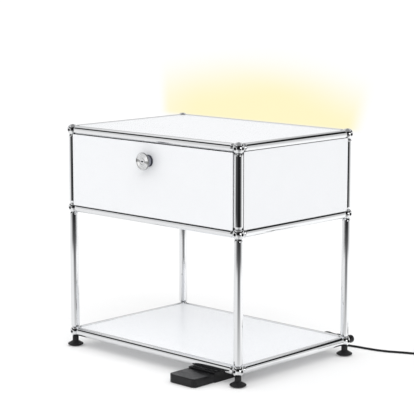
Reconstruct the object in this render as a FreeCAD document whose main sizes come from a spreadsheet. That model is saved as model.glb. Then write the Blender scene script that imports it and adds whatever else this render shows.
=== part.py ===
"""Nightstand of chromed tubes and balls with white panels, a drop-down door and a lamp in its rear top tube.

Millimetres. The origin is on the floor under the middle of the frame, +X to the right, +Y to the back, +Z up.
"""

import FreeCAD
import Part

import math
import os

import Sketcher

Vector = FreeCAD.Vector

SIZES = {
    # Frame, measured between the centres of the ball connectors
    "frame_width": 500.0,
    "frame_depth": 350.0,
    "upper_height": 175.0,
    "lower_height": 285.0,
    # Ball connectors
    "ball_radius": 12.5,
    "ball_flat": 11.5,
    "ball_hole": 3.0,
    "ball_core": 4.3,
    "hole_bevel": 0.45,
    # Tubes, whose ends are necked in towards the balls
    "tube_radius": 9.5,
    "tube_wall": 1.0,
    "tube_rim": 10.5,
    "rim_radius": 7.6,
    "rim_wall": 0.7,
    "neck_length": 3.5,
    "neck_round": 5.0,
    # Sleeve and screw in each tube end
    "sleeve_start": 14.0,
    "sleeve_length": 20.0,
    "sleeve_gap": 0.05,
    "screw_start": 4.0,
    "screw_gap": 0.1,
    "screw_head": 5.0,
    "screw_head_height": 4.0,
    # Folded sheet panels
    "sheet": 1.0,
    "panel_face": 7.5,
    "panel_gap": 0.32,
    "panel_lip": 14.0,
    "panel_corner": 4.0,
    "sheet_round": 0.6,
    # Door
    "door_face": 8.5,
    "door_side": 8.8,
    "door_top": 9.3,
    "door_bottom": 6.5,
    "door_lip": 11.5,
    "door_lip_gap": 0.6,
    "door_corner": 1.5,
    # Hinge clips that turn on the middle front tube
    "clip_gap": 0.05,
    "clip_wall": 1.4,
    "clip_width": 24.0,
    "clip_inset": 60.0,
    "clip_from": 40.0,
    "clip_to": 250.0,
    "door_swing": 90.0,
    "clip_room": 1.0,
    "stop_angle": 108.0,
    "stop_radius": 1.5,
    "stop_gap": 0.2,
    # Knob and lock
    "knob_drop": 47.0,
    "knob_radius": 19.0,
    "knob_rim": 3.2,
    "knob_neck": 12.0,
    "knob_reach": 20.0,
    "knob_edge": 1.0,
    "knob_lip": 16.5,
    "knob_dish": 0.7,
    "plug_bevel": 0.6,
    "knob_gap": 0.3,
    "collar_radius": 13.0,
    "collar_height": 4.0,
    "spindle_radius": 7.5,
    "spindle_gap": 0.05,
    "plug_radius": 7.0,
    "plug_length": 11.0,
    "key_width": 7.5,
    "key_height": 1.8,
    "key_depth": 8.0,
    "case_width": 42.0,
    "case_depth": 24.0,
    "case_below": 24.0,
    "case_above": 25.0,
    "bolt_width": 22.0,
    "bolt_thickness": 3.0,
    "bolt_back_wall": 1.2,
    "bolt_gap": 0.3,
    "bolt_below": 13.0,
    "bolt_top_drop": 14.0,
    "bolt_travel": 8.0,
    "drive_pin": 1.5,
    "drive_gap": 0.35,
    "strike_width": 34.0,
    "strike_drop": 12.0,
    "strike_height": 16.0,
    # Levelling feet
    "foot_height": 22.0,
    "foot_radius": 17.5,
    "foot_base": 12.0,
    "foot_under": 3.2,
    "foot_edge": 5.2,
    "foot_flare": 11.5,
    "foot_neck": 7.0,
    "foot_round": 1.2,
    "stud_reach": 7.0,
    "stud_sink": 8.0,
    # Lamp in the rear top tube
    "lamp_clear": 2.0,
    "lamp_tilt": 45.0,
    "lamp_slot": 8.0,
    "lamp_gap": 0.1,
    "board_width": 12.0,
    "board_thickness": 1.6,
    "chip_size": 5.0,
    "chip_height": 0.9,
    "chip_step": 24.0,
    "diffuser_flange": 1.5,
    "contact_width": 3.0,
    "contact_rise": 5.0,
    "conductor_radius": 2.5,
    "spacer_length": 5.0,
    "spacer_gap": 0.1,
    # Feed plug in the rear right bottom ball
    "feed_radius": 9.0,
    "feed_length": 14.5,
    "feed_round": 4.5,
    "feed_arm_start": 5.2,
    "feed_arm_end": 3.2,
    "feed_arm_reach": 36.0,
    "feed_arm_rise": 3.0,
    "feed_pin_depth": 7.0,
    # Foot dimmer on the floor
    "dimmer_x": 159.0,
    "dimmer_front": 74.0,
    "dimmer_width": 75.0,
    "pedal_length": 60.0,
    "pedal_top": 19.0,
    "pedal_clear": 1.2,
    "pedal_slot": 1.0,
    "housing_length": 91.0,
    "housing_top": 22.5,
    "dimmer_wall": 2.0,
    "dimmer_corner": 10.0,
    "dimmer_edge": 1.2,
    "base_thickness": 3.0,
    "base_inset": 3.4,
    "axle_radius": 2.0,
    "axle_gap": 0.05,
    "axle_behind": 8.0,
    "axle_height": 8.0,
    "lug_width": 8.0,
    "lug_depth": 9.0,
    "lug_gap": 4.0,
    "ear_width": 5.0,
    "circuit_lift": 3.0,
    "circuit_thickness": 1.6,
    "circuit_margin": 4.0,
    "circuit_post": 3.0,
    "switch_size": 14.0,
    "switch_height": 8.0,
    "switch_ahead": 29.0,
    "plunger_radius": 3.5,
    "plunger_top": 0.7,
    "relief_length": 28.0,
    "relief_start": 5.0,
    "relief_end": 3.3,
    "relief_height": 8.0,
    "relief_offset": 15.0,
    # Cords and mains plug
    "lead_radius": 2.5,
    "lead_straight": 12.5,
    "coil_outer": 34.0,
    "coil_step": 5.6,
    "coil_layer": 5.6,
    "coil_turns_in": 3.0,
    "coil_turns_out": 3.5,
    "plug_relief": 30.0,
    "plug_body_length": 36.0,
    "plug_body_width": 36.0,
    "plug_body_round": 5.0,
    "plug_pin_radius": 2.0,
    "plug_pin_length": 19.0,
    "plug_pin_step": 19.0,
}

# The mains lead's floor points behind the dimmer, then to the right behind the frame, and on to its coil
MAINS_POINTS = (
    (142.8, -43.0, 4.5), (139.5, -6.0, 2.5), (136.5, 40.0, 2.5), (131.0, 88.0, 2.5), (132.0, 135.0, 2.5),
    (140.0, 179.0, 2.5), (160.5, 216.0, 2.5), (192.5, 237.5, 2.5), (226.0, 245.5, 2.5), (263.0, 248.8, 2.5),
    (300.0, 256.3, 2.5), (331.0, 272.8, 2.5), (363.0, 286.8, 2.5),
)
COIL_START = (395.0, 299.8)
COIL_HEADING = math.radians(22.4)
# The light lead's points, from the feed plug down behind the rear tube and forward under the shelf
LIGHT_POINTS = (
    (189.0, 194.0, 38.6), (175.5, 194.5, 35.0), (165.0, 191.5, 26.0), (159.8, 181.5, 14.5),
    (158.5, 162.0, 5.5), (161.0, 130.0, 2.5), (165.5, 88.0, 2.5), (166.5, 40.0, 2.5),
    (171.0, -6.0, 2.5), (173.5, -41.0, 4.5),
)


class Size:
    """A number together with the spreadsheet formula that gives it."""

    def __init__(self, text, value):
        self.text = text
        self.value = value

    @staticmethod
    def of(other):
        return other if isinstance(other, Size) else Size(f"({float(other)!r})", float(other))

    def joined(self, sign, other, value):
        return Size(f"({self.text} {sign} {other.text})", value)

    def __add__(self, other):
        other = Size.of(other)
        return self.joined("+", other, self.value + other.value)

    def __sub__(self, other):
        other = Size.of(other)
        return self.joined("-", other, self.value - other.value)

    def __mul__(self, other):
        other = Size.of(other)
        return self.joined("*", other, self.value * other.value)

    def __truediv__(self, other):
        other = Size.of(other)
        return self.joined("/", other, self.value / other.value)

    def __radd__(self, other):
        return Size.of(other) + self

    def __rsub__(self, other):
        return Size.of(other) - self

    def __rmul__(self, other):
        return Size.of(other) * self

    def __neg__(self):
        return Size(f"(0 - {self.text})", -self.value)

    def root(self):
        return Size(f"sqrt({self.text})", math.sqrt(self.value))


doc = FreeCAD.newDocument("nightstand")
sheet = doc.addObject("Spreadsheet::Sheet", "Sizes")
for row, (alias, number) in enumerate(SIZES.items(), start=1):
    sheet.set(f"A{row}", alias)
    sheet.set(f"B{row}", str(number))
    sheet.setAlias(f"B{row}", alias)
doc.recompute()


class Named:
    """The driving dimensions by name, as sizes."""

    def __getattr__(self, alias):
        return Size(f"Sizes.{alias}", float(sheet.get(alias)))


S = Named()
NODES = []


def bind(obj, **sizes):
    """Bind an object's properties to sizes."""
    for name, size in sizes.items():
        setattr(obj, name, Size.of(size).value)
        obj.setExpression(name, Size.of(size).text)


def place(obj, x=0.0, y=0.0, z=0.0, turn=None):
    """Put an object at a point given in sizes, turned by a rotation."""
    sizes = [Size.of(v) for v in (x, y, z)]
    where = Vector(*(v.value for v in sizes))
    obj.Placement = FreeCAD.Placement(where, turn or FreeCAD.Rotation())
    for axis, size in zip("xyz", sizes):
        obj.setExpression(f"Placement.Base.{axis}", size.text)
    return obj


def node(obj, label):
    """Name an object as one of the pieces that are written out."""
    for blank in doc.getObjectsByLabel(label):
        blank.Label = f"{label}_blank"
    obj.Label = label
    NODES.append(obj)
    return obj


def turn_about(x, y, z, degrees):
    return FreeCAD.Rotation(Vector(x, y, z), degrees)


# Local Z turned to each level axis, and a plate's face turned to each side
ALONG_X = turn_about(0, 1, 0, 90)
ALONG_Y = turn_about(1, 0, 0, -90)
ALONG_Z = FreeCAD.Rotation()


def new_body(label):
    return doc.addObject("PartDesign::Body", label)


def new_sketch(body, role="XY_Plane", height=0.0):
    """A sketch on one of a body's own origin planes, lifted along the plane's normal."""
    sketch = body.newObject("Sketcher::SketchObject", "Outline")
    plane = next(f for f in body.Origin.OriginFeatures if f.Role == role)
    sketch.AttachmentSupport = [(plane, "")]
    sketch.MapMode = "FlatFace"
    height = Size.of(height)
    sketch.AttachmentOffset = FreeCAD.Placement(Vector(0, 0, height.value), FreeCAD.Rotation())
    sketch.setExpression("AttachmentOffset.Base.z", height.text)
    return sketch


def dimension(sketch, kind, first, second, size):
    """Bind a horizontal or vertical dimension between two sketch points, or a radius, to a size."""
    size = Size.of(size)
    places = [*first, *second] if second else [*first]
    index = sketch.addConstraint(Sketcher.Constraint(kind, *places, size.value))
    sketch.setExpression(f"Constraints[{index}]", size.text)


def outline(sketch, points):
    """Draw a closed polygon whose corners are bound to sizes."""
    corners = [(Size.of(u), Size.of(v)) for u, v in points]
    ends = [Vector(u.value, v.value, 0) for u, v in corners]
    first = sketch.GeometryCount
    for i, end in enumerate(ends):
        sketch.addGeometry(Part.LineSegment(end, ends[(i + 1) % len(ends)]))
    for i in range(len(ends)):
        after = first + (i + 1) % len(ends)
        sketch.addConstraint(Sketcher.Constraint("Coincident", first + i, 2, after, 1))
    for i, (u, v) in enumerate(corners):
        for kind, size in (("DistanceX", u), ("DistanceY", v)):
            if abs(size.value) < 1e-9:
                axis = -2 if kind == "DistanceX" else -1
                sketch.addConstraint(Sketcher.Constraint("PointOnObject", first + i, 1, axis))
            else:
                dimension(sketch, kind, (-1, 1), (first + i, 1), size)


def rectangle(sketch, x0, x1, y0, y1):
    outline(sketch, ((x0, y0), (x1, y0), (x1, y1), (x0, y1)))


def pad(body, sketch, length, reverse=False):
    feature = body.newObject("PartDesign::Pad", "Pad")
    feature.Profile = sketch
    bind(feature, Length=length)
    feature.Reversed = reverse
    doc.recompute()
    return feature


def pocket(body, sketch, length, reverse=False):
    """Cut a sketch's outline out of a body, and make sure that it cuts."""
    before = body.Shape.Volume
    feature = body.newObject("PartDesign::Pocket", "Pocket")
    feature.Profile = sketch
    bind(feature, Length=length)
    feature.Reversed = reverse
    doc.recompute()
    if not body.Shape.Volume < before:
        raise RuntimeError(f"{body.Label}: a pocket cuts nothing")
    return feature


def edges_where(shape, test):
    return [f"Edge{i}" for i, edge in enumerate(shape.Edges, start=1) if test(edge)]


def soften(body, kind, size, test):
    """Round or bevel the edges of a body's last feature that pass a test."""
    names = edges_where(body.Tip.Shape, test)
    if not names:
        raise RuntimeError(f"{body.Label}: no edge to soften")
    feature = body.newObject(f"PartDesign::{kind}", kind)
    feature.Base = (body.Tip if body.Tip != feature else feature.BaseFeature, names)
    bind(feature, **{"Radius" if kind == "Fillet" else "Size": size})
    doc.recompute()
    return feature


def is_at_top(edge):
    """Whether an edge lies in the plane of height 0."""
    return all(abs(vertex.Z) < 1e-6 for vertex in edge.Vertexes)


def turned(label, points):
    """A body turned about its Z axis from an outline of (radius, height) corners."""
    body = new_body(label)
    sketch = new_sketch(body, "XZ_Plane")
    outline(sketch, points)
    feature = body.newObject("PartDesign::Revolution", "Turning")
    feature.Profile = sketch
    feature.ReferenceAxis = (sketch, ["V_Axis"])
    feature.Angle = 360.0
    doc.recompute()
    return body


def is_ring(edge, radius, height):
    """Whether an edge is a circle of that radius about Z at that height."""
    curve = edge.Curve
    if not isinstance(curve, Part.Circle):
        return False
    return abs(curve.Radius - radius) < 1e-4 and abs(curve.Center.z - height) < 1e-4


def is_upright(edge):
    """Whether an edge is straight and parallel to Z."""
    if not isinstance(edge.Curve, (Part.Line, Part.LineSegment)):
        return False
    return abs(abs(edge.tangentAt(edge.FirstParameter).z) - 1) < 1e-6


def box(x0, x1, y0, y1, z0, z1):
    """A box between corners given in sizes."""
    part = doc.addObject("Part::Box", "Block")
    lows = [Size.of(v) for v in (x0, y0, z0)]
    highs = [Size.of(v) for v in (x1, y1, z1)]
    bind(part, Length=highs[0] - lows[0], Width=highs[1] - lows[1], Height=highs[2] - lows[2])
    return place(part, *lows)


def rod(radius, length, x, y, z, turn=ALONG_Z, angle=360.0):
    """A cylinder from a point along the turned Z axis."""
    part = doc.addObject("Part::Cylinder", "Rod")
    bind(part, Radius=radius, Height=length, Angle=angle)
    return place(part, x, y, z, turn)


def cone(start, end, length, x, y, z, turn=ALONG_Z):
    part = doc.addObject("Part::Cone", "Taper")
    bind(part, Radius1=start, Radius2=end, Height=length)
    return place(part, x, y, z, turn)


def cut(base, *tools):
    """A base with tools taken out of it one after another."""
    for tool in tools:
        part = doc.addObject("Part::Cut", "Cut")
        part.Base = base
        part.Tool = tool
        base = part
    doc.recompute()
    return base


def fuse(*parts):
    part = doc.addObject("Part::MultiFuse", "Fusion")
    part.Shapes = list(parts)
    part.Refine = True
    doc.recompute()
    return part


def grouped(*parts):
    """Several parts as one object, each still its own solid."""
    part = doc.addObject("Part::Compound", "Group")
    part.Links = list(parts)
    doc.recompute()
    return part


def common(base, tool):
    part = doc.addObject("Part::Common", "Common")
    part.Base = base
    part.Tool = tool
    doc.recompute()
    return part


def copies(label, seed, places):
    """One piece made of copies of a seed at (x, y, z, turn) places."""
    links = []
    for x, y, z, turn in places:
        link = doc.addObject("App::Link", "Copy")
        link.LinkedObject = seed
        links.append(place(link, x, y, z, turn))
    return node(grouped(*links), label)


# Levels and corners of the frame
HALF_W = S.frame_width / 2
HALF_D = S.frame_depth / 2
BOTTOM = S.foot_height + S.ball_flat
MIDDLE = BOTTOM + S.lower_height
TOP = MIDDLE + S.upper_height
LEVELS = {"top": TOP, "middle": MIDDLE, "bottom": BOTTOM}
CORNERS = {
    "front_left": (-HALF_W, -HALF_D),
    "front_right": (HALF_W, -HALF_D),
    "rear_left": (-HALF_W, HALF_D),
    "rear_right": (HALF_W, HALF_D),
}
BORE = S.tube_radius - S.tube_wall
SCREW_END = S.sleeve_start + S.sleeve_length
HEAD_END = SCREW_END + S.screw_head_height


# Ball connectors: a ball with six flats, a hollow core and a threaded hole from each flat to the core
def ball_connectors():
    sphere = doc.addObject("Part::Sphere", "Ball")
    bind(sphere, Radius=S.ball_radius)
    flats = box(*(-S.ball_flat, S.ball_flat) * 3)
    span = 2 * S.ball_flat
    holes = [
        rod(S.ball_hole, span, -S.ball_flat, 0, 0, ALONG_X),
        rod(S.ball_hole, span, 0, -S.ball_flat, 0, ALONG_Y),
        rod(S.ball_hole, span, 0, 0, -S.ball_flat),
    ]
    core = doc.addObject("Part::Sphere", "Core")
    bind(core, Radius=S.ball_core)
    drilled = cut(common(sphere, flats), *holes, core)
    bevelled = doc.addObject("Part::Chamfer", "Bevelled")
    bevelled.Base = drilled
    hole, flat = S.ball_hole.value, S.ball_flat.value
    rims = []
    for i, edge in enumerate(drilled.Shape.Edges, start=1):
        if isinstance(edge.Curve, Part.Circle) and abs(edge.Curve.Radius - hole) < 1e-4:
            if abs(edge.Curve.Center.Length - flat) < 1e-4:
                rims.append((i, S.hole_bevel.value, S.hole_bevel.value))
    bevelled.Edges = rims
    doc.recompute()
    # A quarter turn puts the open holes of the front left ball first among the walls on their lines
    quarter = turn_about(0, 0, 1, -90)
    places = [(x, y, z, quarter) for z in LEVELS.values() for x, y in CORNERS.values()]
    copies("ball_connectors", bevelled, places)


# Tubes, necked in at both ends so that three of them meet round a ball
def tube(label, span):
    half = span / 2
    rim = half - S.tube_rim
    shoulder = rim - S.neck_length
    outer = [(S.tube_radius, shoulder), (S.rim_radius, rim)]
    inner = [(S.rim_radius - S.rim_wall, rim), (BORE, shoulder)]
    upper = outer + inner
    lower = [(r, -z) for r, z in reversed(upper)]
    body = turned(label, upper + lower)
    radius, height = S.tube_radius.value, shoulder.value
    soften(body, "Fillet", S.neck_round,
           lambda e: is_ring(e, radius, height) or is_ring(e, radius, -height))
    return body


def level_tubes():
    """The tubes round each level, apart from the lamp's and the hinge's, which are cut further."""
    for level, z in LEVELS.items():
        for side, y in (("front", -HALF_D), ("rear", HALF_D)):
            body = place(tube(f"{level}_{side}_tube", S.frame_width), 0, y, z, ALONG_X)
            if (level, side) == ("top", "rear"):
                node(lamp_slot(body), "lamp_tube")
            elif (level, side) == ("middle", "front"):
                node(cut(body, *stop_holes()), "middle_front_tube")
            else:
                node(body, f"{level}_{side}_tube")
        for side, x in (("left", -HALF_W), ("right", HALF_W)):
            body = place(tube(f"{level}_{side}_tube", S.frame_depth), x, 0, z, ALONG_Y)
            node(body, f"{level}_{side}_tube")


def posts():
    runs = (("upper_posts", S.upper_height, MIDDLE), ("lower_posts", S.lower_height, BOTTOM))
    for label, span, low in runs:
        seed = tube(f"{label}_seed", span)
        copies(label, seed, [(x, y, low + span / 2, None) for x, y in CORNERS.values()])


def tube_ends():
    """Where each tube end's fixings start: the ball's centre, and the turn from Z to the tube's way."""
    ways = []
    back_x, back_y, back_z = turn_about(0, 1, 0, -90), turn_about(1, 0, 0, 90), turn_about(1, 0, 0, 180)
    for z in LEVELS.values():
        for y in (-HALF_D, HALF_D):
            ways += [(-HALF_W, y, z, ALONG_X), (HALF_W, y, z, back_x)]
        for x in (-HALF_W, HALF_W):
            ways += [(x, -HALF_D, z, ALONG_Y), (x, HALF_D, z, back_y)]
    for x, y in CORNERS.values():
        ways += [(x, y, MIDDLE, ALONG_Z), (x, y, TOP, back_z)]
        ways += [(x, y, BOTTOM, ALONG_Z), (x, y, MIDDLE, back_z)]
    return ways


def tube_fixings():
    """A sleeve gripped in each tube end, and the screw that draws it to the ball."""
    sleeve_radius = BORE - S.sleeve_gap
    shank = S.ball_hole - S.screw_gap
    sleeve = turned("sleeve_seed", (
        (S.ball_hole, S.sleeve_start), (sleeve_radius, S.sleeve_start),
        (sleeve_radius, SCREW_END), (S.ball_hole, SCREW_END),
    ))
    screw = turned("screw_seed", (
        (0, S.screw_start), (shank, S.screw_start), (shank, SCREW_END),
        (S.screw_head, SCREW_END), (S.screw_head, HEAD_END), (0, HEAD_END),
    ))
    copies("tube_sleeves", sleeve, tube_ends())
    copies("connector_screws", screw, tube_ends())


# Panels: a plate set a little below the tubes' outer lines, with lips folded in between the tubes
PLATE_INSET = (S.tube_radius * S.tube_radius
               - (S.panel_face - S.sheet) * (S.panel_face - S.sheet)).root() + S.panel_gap
LIP_INSET = S.tube_radius + S.panel_gap


def folded_plate(label, x0, x1, y0, y1, lips, depth, corner):
    """A plate with its face up at height 0, and four lips that hang from it inside the given rectangle."""
    body = new_body(label)
    sketch = new_sketch(body)
    rectangle(sketch, x0, x1, y0, y1)
    pad(body, sketch, S.sheet, reverse=True)
    soften(body, "Fillet", corner, is_upright)
    soften(body, "Fillet", S.sheet_round, is_at_top)
    lip_x0, lip_x1, lip_y0, lip_y1 = lips
    sketch = new_sketch(body, height=-S.sheet)
    rectangle(sketch, *lips)
    rectangle(sketch, lip_x0 + S.sheet, lip_x1 - S.sheet, lip_y0 + S.sheet, lip_y1 - S.sheet)
    pad(body, sketch, depth, reverse=True)
    return body


def panel(label, width, height, x, y, z, turn):
    """A panel between two pairs of tubes, with its face turned to a side and its middle at a point."""
    half_x, half_y = width / 2 - PLATE_INSET, height / 2 - PLATE_INSET
    lip_x, lip_y = width / 2 - LIP_INSET, height / 2 - LIP_INSET
    lips = (-lip_x, lip_x, -lip_y, lip_y)
    body = folded_plate(label, -half_x, half_x, -half_y, half_y, lips, S.panel_lip, S.panel_corner)
    return place(body, x, y, z, turn)


def panels():
    flat = FreeCAD.Rotation()
    to_right = turn_about(0, 1, 0, 90)
    to_left = turn_about(0, 1, 0, -90)
    to_rear = turn_about(1, 0, 0, -90)
    half_level = (MIDDLE + TOP) / 2
    face = S.panel_face
    width, depth, height = S.frame_width, S.frame_depth, S.upper_height
    node(panel("top_panel", width, depth, 0, 0, TOP + face, flat), "top_panel")
    node(panel("bottom_panel", width, depth, 0, 0, BOTTOM + face, flat), "bottom_panel")
    node(panel("right_panel", height, depth, HALF_W + face, 0, half_level, to_right), "right_panel")
    node(panel("left_panel", height, depth, -HALF_W - face, 0, half_level, to_left), "left_panel")
    node(panel("rear_panel", width, height, 0, HALF_D + face, half_level, to_rear), "rear_panel")
    middle = panel("middle_panel", width, depth, 0, 0, MIDDLE + face, flat)
    node(cut(middle, *clip_notches()), "middle_panel")


# Hinge: two clips on the door turn on the middle front tube, each held to its swing by a stop pin
CLIP_INNER = S.tube_radius + S.clip_gap
CLIP_OUTER = CLIP_INNER + S.clip_wall
CLIP_CENTRES = [-(HALF_W - S.clip_inset), HALF_W - S.clip_inset]
# A cylinder along X whose angle runs from the front, over the top, to the back
FROM_FRONT = FreeCAD.Rotation(Vector(0, -1, 0), Vector(0, 0, 1), Vector(-1, 0, 0))


def swept_sector(radius, width, x, start, sweep):
    """A sector about the middle front tube, from an angle over the front by a sweep towards the back."""
    turn = FROM_FRONT.multiply(turn_about(0, 0, 1, start.value))
    return rod(radius, width, x + width / 2, -HALF_D, MIDDLE, turn, sweep)


def clip_notches():
    room = CLIP_OUTER + S.clip_room
    half = S.clip_width / 2 + S.clip_room
    return [box(x - half, x + half, -HALF_D, -HALF_D + room, MIDDLE - room, MIDDLE + room)
            for x in CLIP_CENTRES]


# Local Z turned from the front, over the top, to the stop pin's angle
STOP_TURN = turn_about(1, 0, 0, 90 - S.stop_angle.value)


def stop_holes():
    return [rod(S.stop_radius, CLIP_OUTER, x, -HALF_D, MIDDLE, STOP_TURN) for x in CLIP_CENTRES]


def hinge():
    """The clips on the door, each with a slot for its stop pin, and the stop pins in the tube."""
    way = STOP_TURN.multVec(Vector(0, 0, 1))
    start = BORE - S.tube_wall
    plate = -HALF_D - S.door_face + S.sheet
    slot_half = S.stop_radius + S.stop_gap
    margin = Size.of(math.degrees(math.asin(slot_half.value / S.tube_radius.value)))
    pins, clips = [], []
    for x in CLIP_CENTRES:
        pins.append((x, -HALF_D + start * way.y, MIDDLE + start * way.z, STOP_TURN))
        left, right = x - S.clip_width / 2, x + S.clip_width / 2
        ring = swept_sector(CLIP_OUTER, S.clip_width, x, S.clip_from, S.clip_to - S.clip_from)
        front = box(left, right, plate - CLIP_OUTER, plate, MIDDLE, MIDDLE + CLIP_OUTER)
        slot = swept_sector(CLIP_OUTER + S.clip_room, 2 * slot_half, x, S.stop_angle - margin,
                            S.door_swing + 2 * margin)
        tab = box(left, right, plate, plate + S.clip_wall,
                  MIDDLE + S.door_bottom + S.sheet, MIDDLE + CLIP_OUTER)
        tube_room = rod(CLIP_INNER, S.clip_width, right, -HALF_D, MIDDLE, FROM_FRONT)
        clips.append(cut(fuse(cut(ring, front, slot), tab), tube_room))
    seed = rod(S.stop_radius, CLIP_OUTER - start, 0, 0, 0)
    copies("hinge_stop_pins", seed, pins)
    node(grouped(*clips), "hinge_clips")


# Door: a folded plate in front of the tubes, with its lock and knob
DOOR_FACE = -HALF_D - S.door_face
DOOR_BACK = DOOR_FACE + S.sheet
KNOB_Z = TOP - S.knob_drop
# A piece turned about Z, turned so that its Z runs from the front to the back
TO_BACK = ALONG_Y


def door_panel():
    half = HALF_W - S.door_side
    lip_half = HALF_W - S.tube_radius - S.door_lip_gap
    low, high = MIDDLE + S.door_bottom, TOP - S.door_top
    lip_low, lip_high = MIDDLE + CLIP_OUTER + S.door_lip_gap, TOP - S.tube_radius - S.door_lip_gap
    lips = (-lip_half, lip_half, lip_low, lip_high)
    plate = folded_plate("door_plate", -half, half, low, high, lips, S.door_lip, S.door_corner)
    place(plate, 0, DOOR_FACE, 0, turn_about(1, 0, 0, 90))
    hole = rod(S.spindle_radius + S.knob_gap, S.sheet, 0, DOOR_FACE, KNOB_Z, TO_BACK)
    node(cut(plate, hole), "door_panel")


BOLT_BACK = DOOR_BACK + S.case_depth - S.bolt_back_wall - S.bolt_gap
BOLT_FRONT = BOLT_BACK - S.bolt_thickness
BOLT_SLOT_FRONT = BOLT_FRONT - S.bolt_gap
PIN_OFFSET = S.bolt_travel / 2


def lock():
    """The lock's case, its bolt, the knob's spindle with its drive pin, and the strike for the bolt."""
    half = S.case_width / 2
    slot_half = S.bolt_width / 2 + S.bolt_gap
    case_top = KNOB_Z + S.case_above
    case = box(-half, half, DOOR_BACK, DOOR_BACK + S.case_depth, KNOB_Z - S.case_below, case_top)
    way = box(-slot_half, slot_half, BOLT_SLOT_FRONT, BOLT_BACK + S.bolt_gap,
              KNOB_Z - S.bolt_below - S.bolt_gap, case_top)
    bearing = rod(S.spindle_radius + S.spindle_gap, BOLT_SLOT_FRONT - DOOR_BACK,
                  0, DOOR_BACK, KNOB_Z, TO_BACK)
    node(cut(case, way, bearing), "lock_case")

    half = S.bolt_width / 2
    bolt = box(-half, half, BOLT_FRONT, BOLT_BACK, KNOB_Z - S.bolt_below, TOP - S.bolt_top_drop)
    reach = PIN_OFFSET * math.sqrt(2)
    pin_room = S.drive_pin + S.drive_gap
    slot = box(-reach - pin_room, -PIN_OFFSET + pin_room, BOLT_FRONT, BOLT_BACK,
               KNOB_Z - PIN_OFFSET - pin_room, KNOB_Z - PIN_OFFSET + pin_room)
    node(cut(bolt, slot), "lock_bolt")

    spindle_start = DOOR_FACE - S.collar_height - S.knob_gap
    shaft = rod(S.spindle_radius, BOLT_SLOT_FRONT - spindle_start, 0, spindle_start, KNOB_Z, TO_BACK)
    pin = rod(S.drive_pin, BOLT_BACK - BOLT_SLOT_FRONT,
              -PIN_OFFSET, BOLT_SLOT_FRONT, KNOB_Z - PIN_OFFSET, TO_BACK)
    node(fuse(shaft, pin), "knob_spindle")

    lip_inside = -HALF_D + LIP_INSET + S.sheet
    half = S.strike_width / 2
    low = TOP - S.strike_drop
    node(box(-half, half, lip_inside, lip_inside + S.sheet, low, low + S.strike_height), "strike_plate")


def knob():
    """The collar on the door, the knob in front of it and the lock plug in the knob, on one axis."""
    collar = turned("knob_collar", (
        (S.spindle_radius + S.knob_gap, 0), (S.collar_radius, 0),
        (S.collar_radius, S.collar_height), (S.spindle_radius + S.knob_gap, S.collar_height),
    ))
    radius, height = S.collar_radius.value, S.collar_height.value
    soften(collar, "Fillet", S.knob_edge, lambda e: is_ring(e, radius, height))
    to_front = turn_about(1, 0, 0, 90)
    node(place(collar, 0, DOOR_FACE, KNOB_Z, to_front), "knob_collar")

    back = S.collar_height + S.knob_gap
    rim = S.knob_reach - S.knob_rim
    bore = S.plug_radius + S.spindle_gap
    floor = S.knob_reach - S.plug_length
    face = S.knob_reach - S.knob_dish
    profile = turned("door_knob", (
        (0, back), (S.knob_neck, back), (S.knob_neck, rim), (S.knob_radius, rim),
        (S.knob_radius, S.knob_reach), (S.knob_lip, S.knob_reach), (S.knob_lip - S.knob_dish, face),
        (bore + S.plug_bevel, face), (bore, face - S.plug_bevel), (bore, floor), (0, floor),
    ))
    radius, height = S.knob_radius.value, S.knob_reach.value
    soften(profile, "Fillet", S.knob_edge, lambda e: is_ring(e, radius, height))
    node(place(profile, 0, DOOR_FACE, KNOB_Z, to_front), "door_knob")

    plug = turned("lock_plug", (
        (0, floor), (S.plug_radius, floor), (S.plug_radius, face - S.plug_bevel),
        (S.plug_radius - S.plug_bevel, face), (0, face),
    ))
    sketch = new_sketch(plug, height=face)
    rectangle(sketch, -S.key_width / 2, S.key_width / 2, -S.key_height / 2, S.key_height / 2)
    pocket(plug, sketch, S.key_depth)
    node(place(plug, 0, DOOR_FACE, KNOB_Z, to_front), "lock_plug")


# Feet: a flared glide under each bottom ball, with a stud up into the ball
def feet():
    for corner, (x, y) in CORNERS.items():
        foot = turned(f"{corner}_foot", (
            (0, 0), (S.foot_base, 0), (S.foot_radius, S.foot_under), (S.foot_radius, S.foot_edge),
            (S.foot_neck, S.foot_flare), (S.foot_neck, S.foot_height), (S.ball_hole, S.foot_height),
            (S.ball_hole, S.foot_height - S.stud_sink), (0, S.foot_height - S.stud_sink),
        ))
        radius, height = S.foot_radius.value, S.foot_edge.value
        soften(foot, "Fillet", S.foot_round, lambda e: is_ring(e, radius, height))
        node(place(foot, x, y, 0), f"{corner}_foot")
    for corner, (x, y) in CORNERS.items():
        stud = rod(S.ball_hole - S.screw_gap, S.stud_sink + S.stud_reach, x, y, S.foot_height - S.stud_sink)
        node(stud, f"{corner}_stud")


# Lamp: a board with light chips in the rear top tube, under a diffuser that fills the tube's slot
# The lamp's own Z is turned from straight up towards the back
LAMP_TURN = turn_about(1, 0, 0, -S.lamp_tilt.value)
# The lamp ends before the screw heads in its tube
LAMP_HALF = HALF_W - HEAD_END - S.lamp_clear


def in_lamp(part):
    """Put a piece that was made about the X axis into the rear top tube."""
    return place(part, 0, HALF_D, TOP, LAMP_TURN)


def lamp_slot(body):
    half = LAMP_HALF
    slot = box(-half, half, -S.lamp_slot / 2, S.lamp_slot / 2, 0, S.tube_radius + S.tube_wall)
    return cut(body, in_lamp(grouped(slot)))


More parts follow.
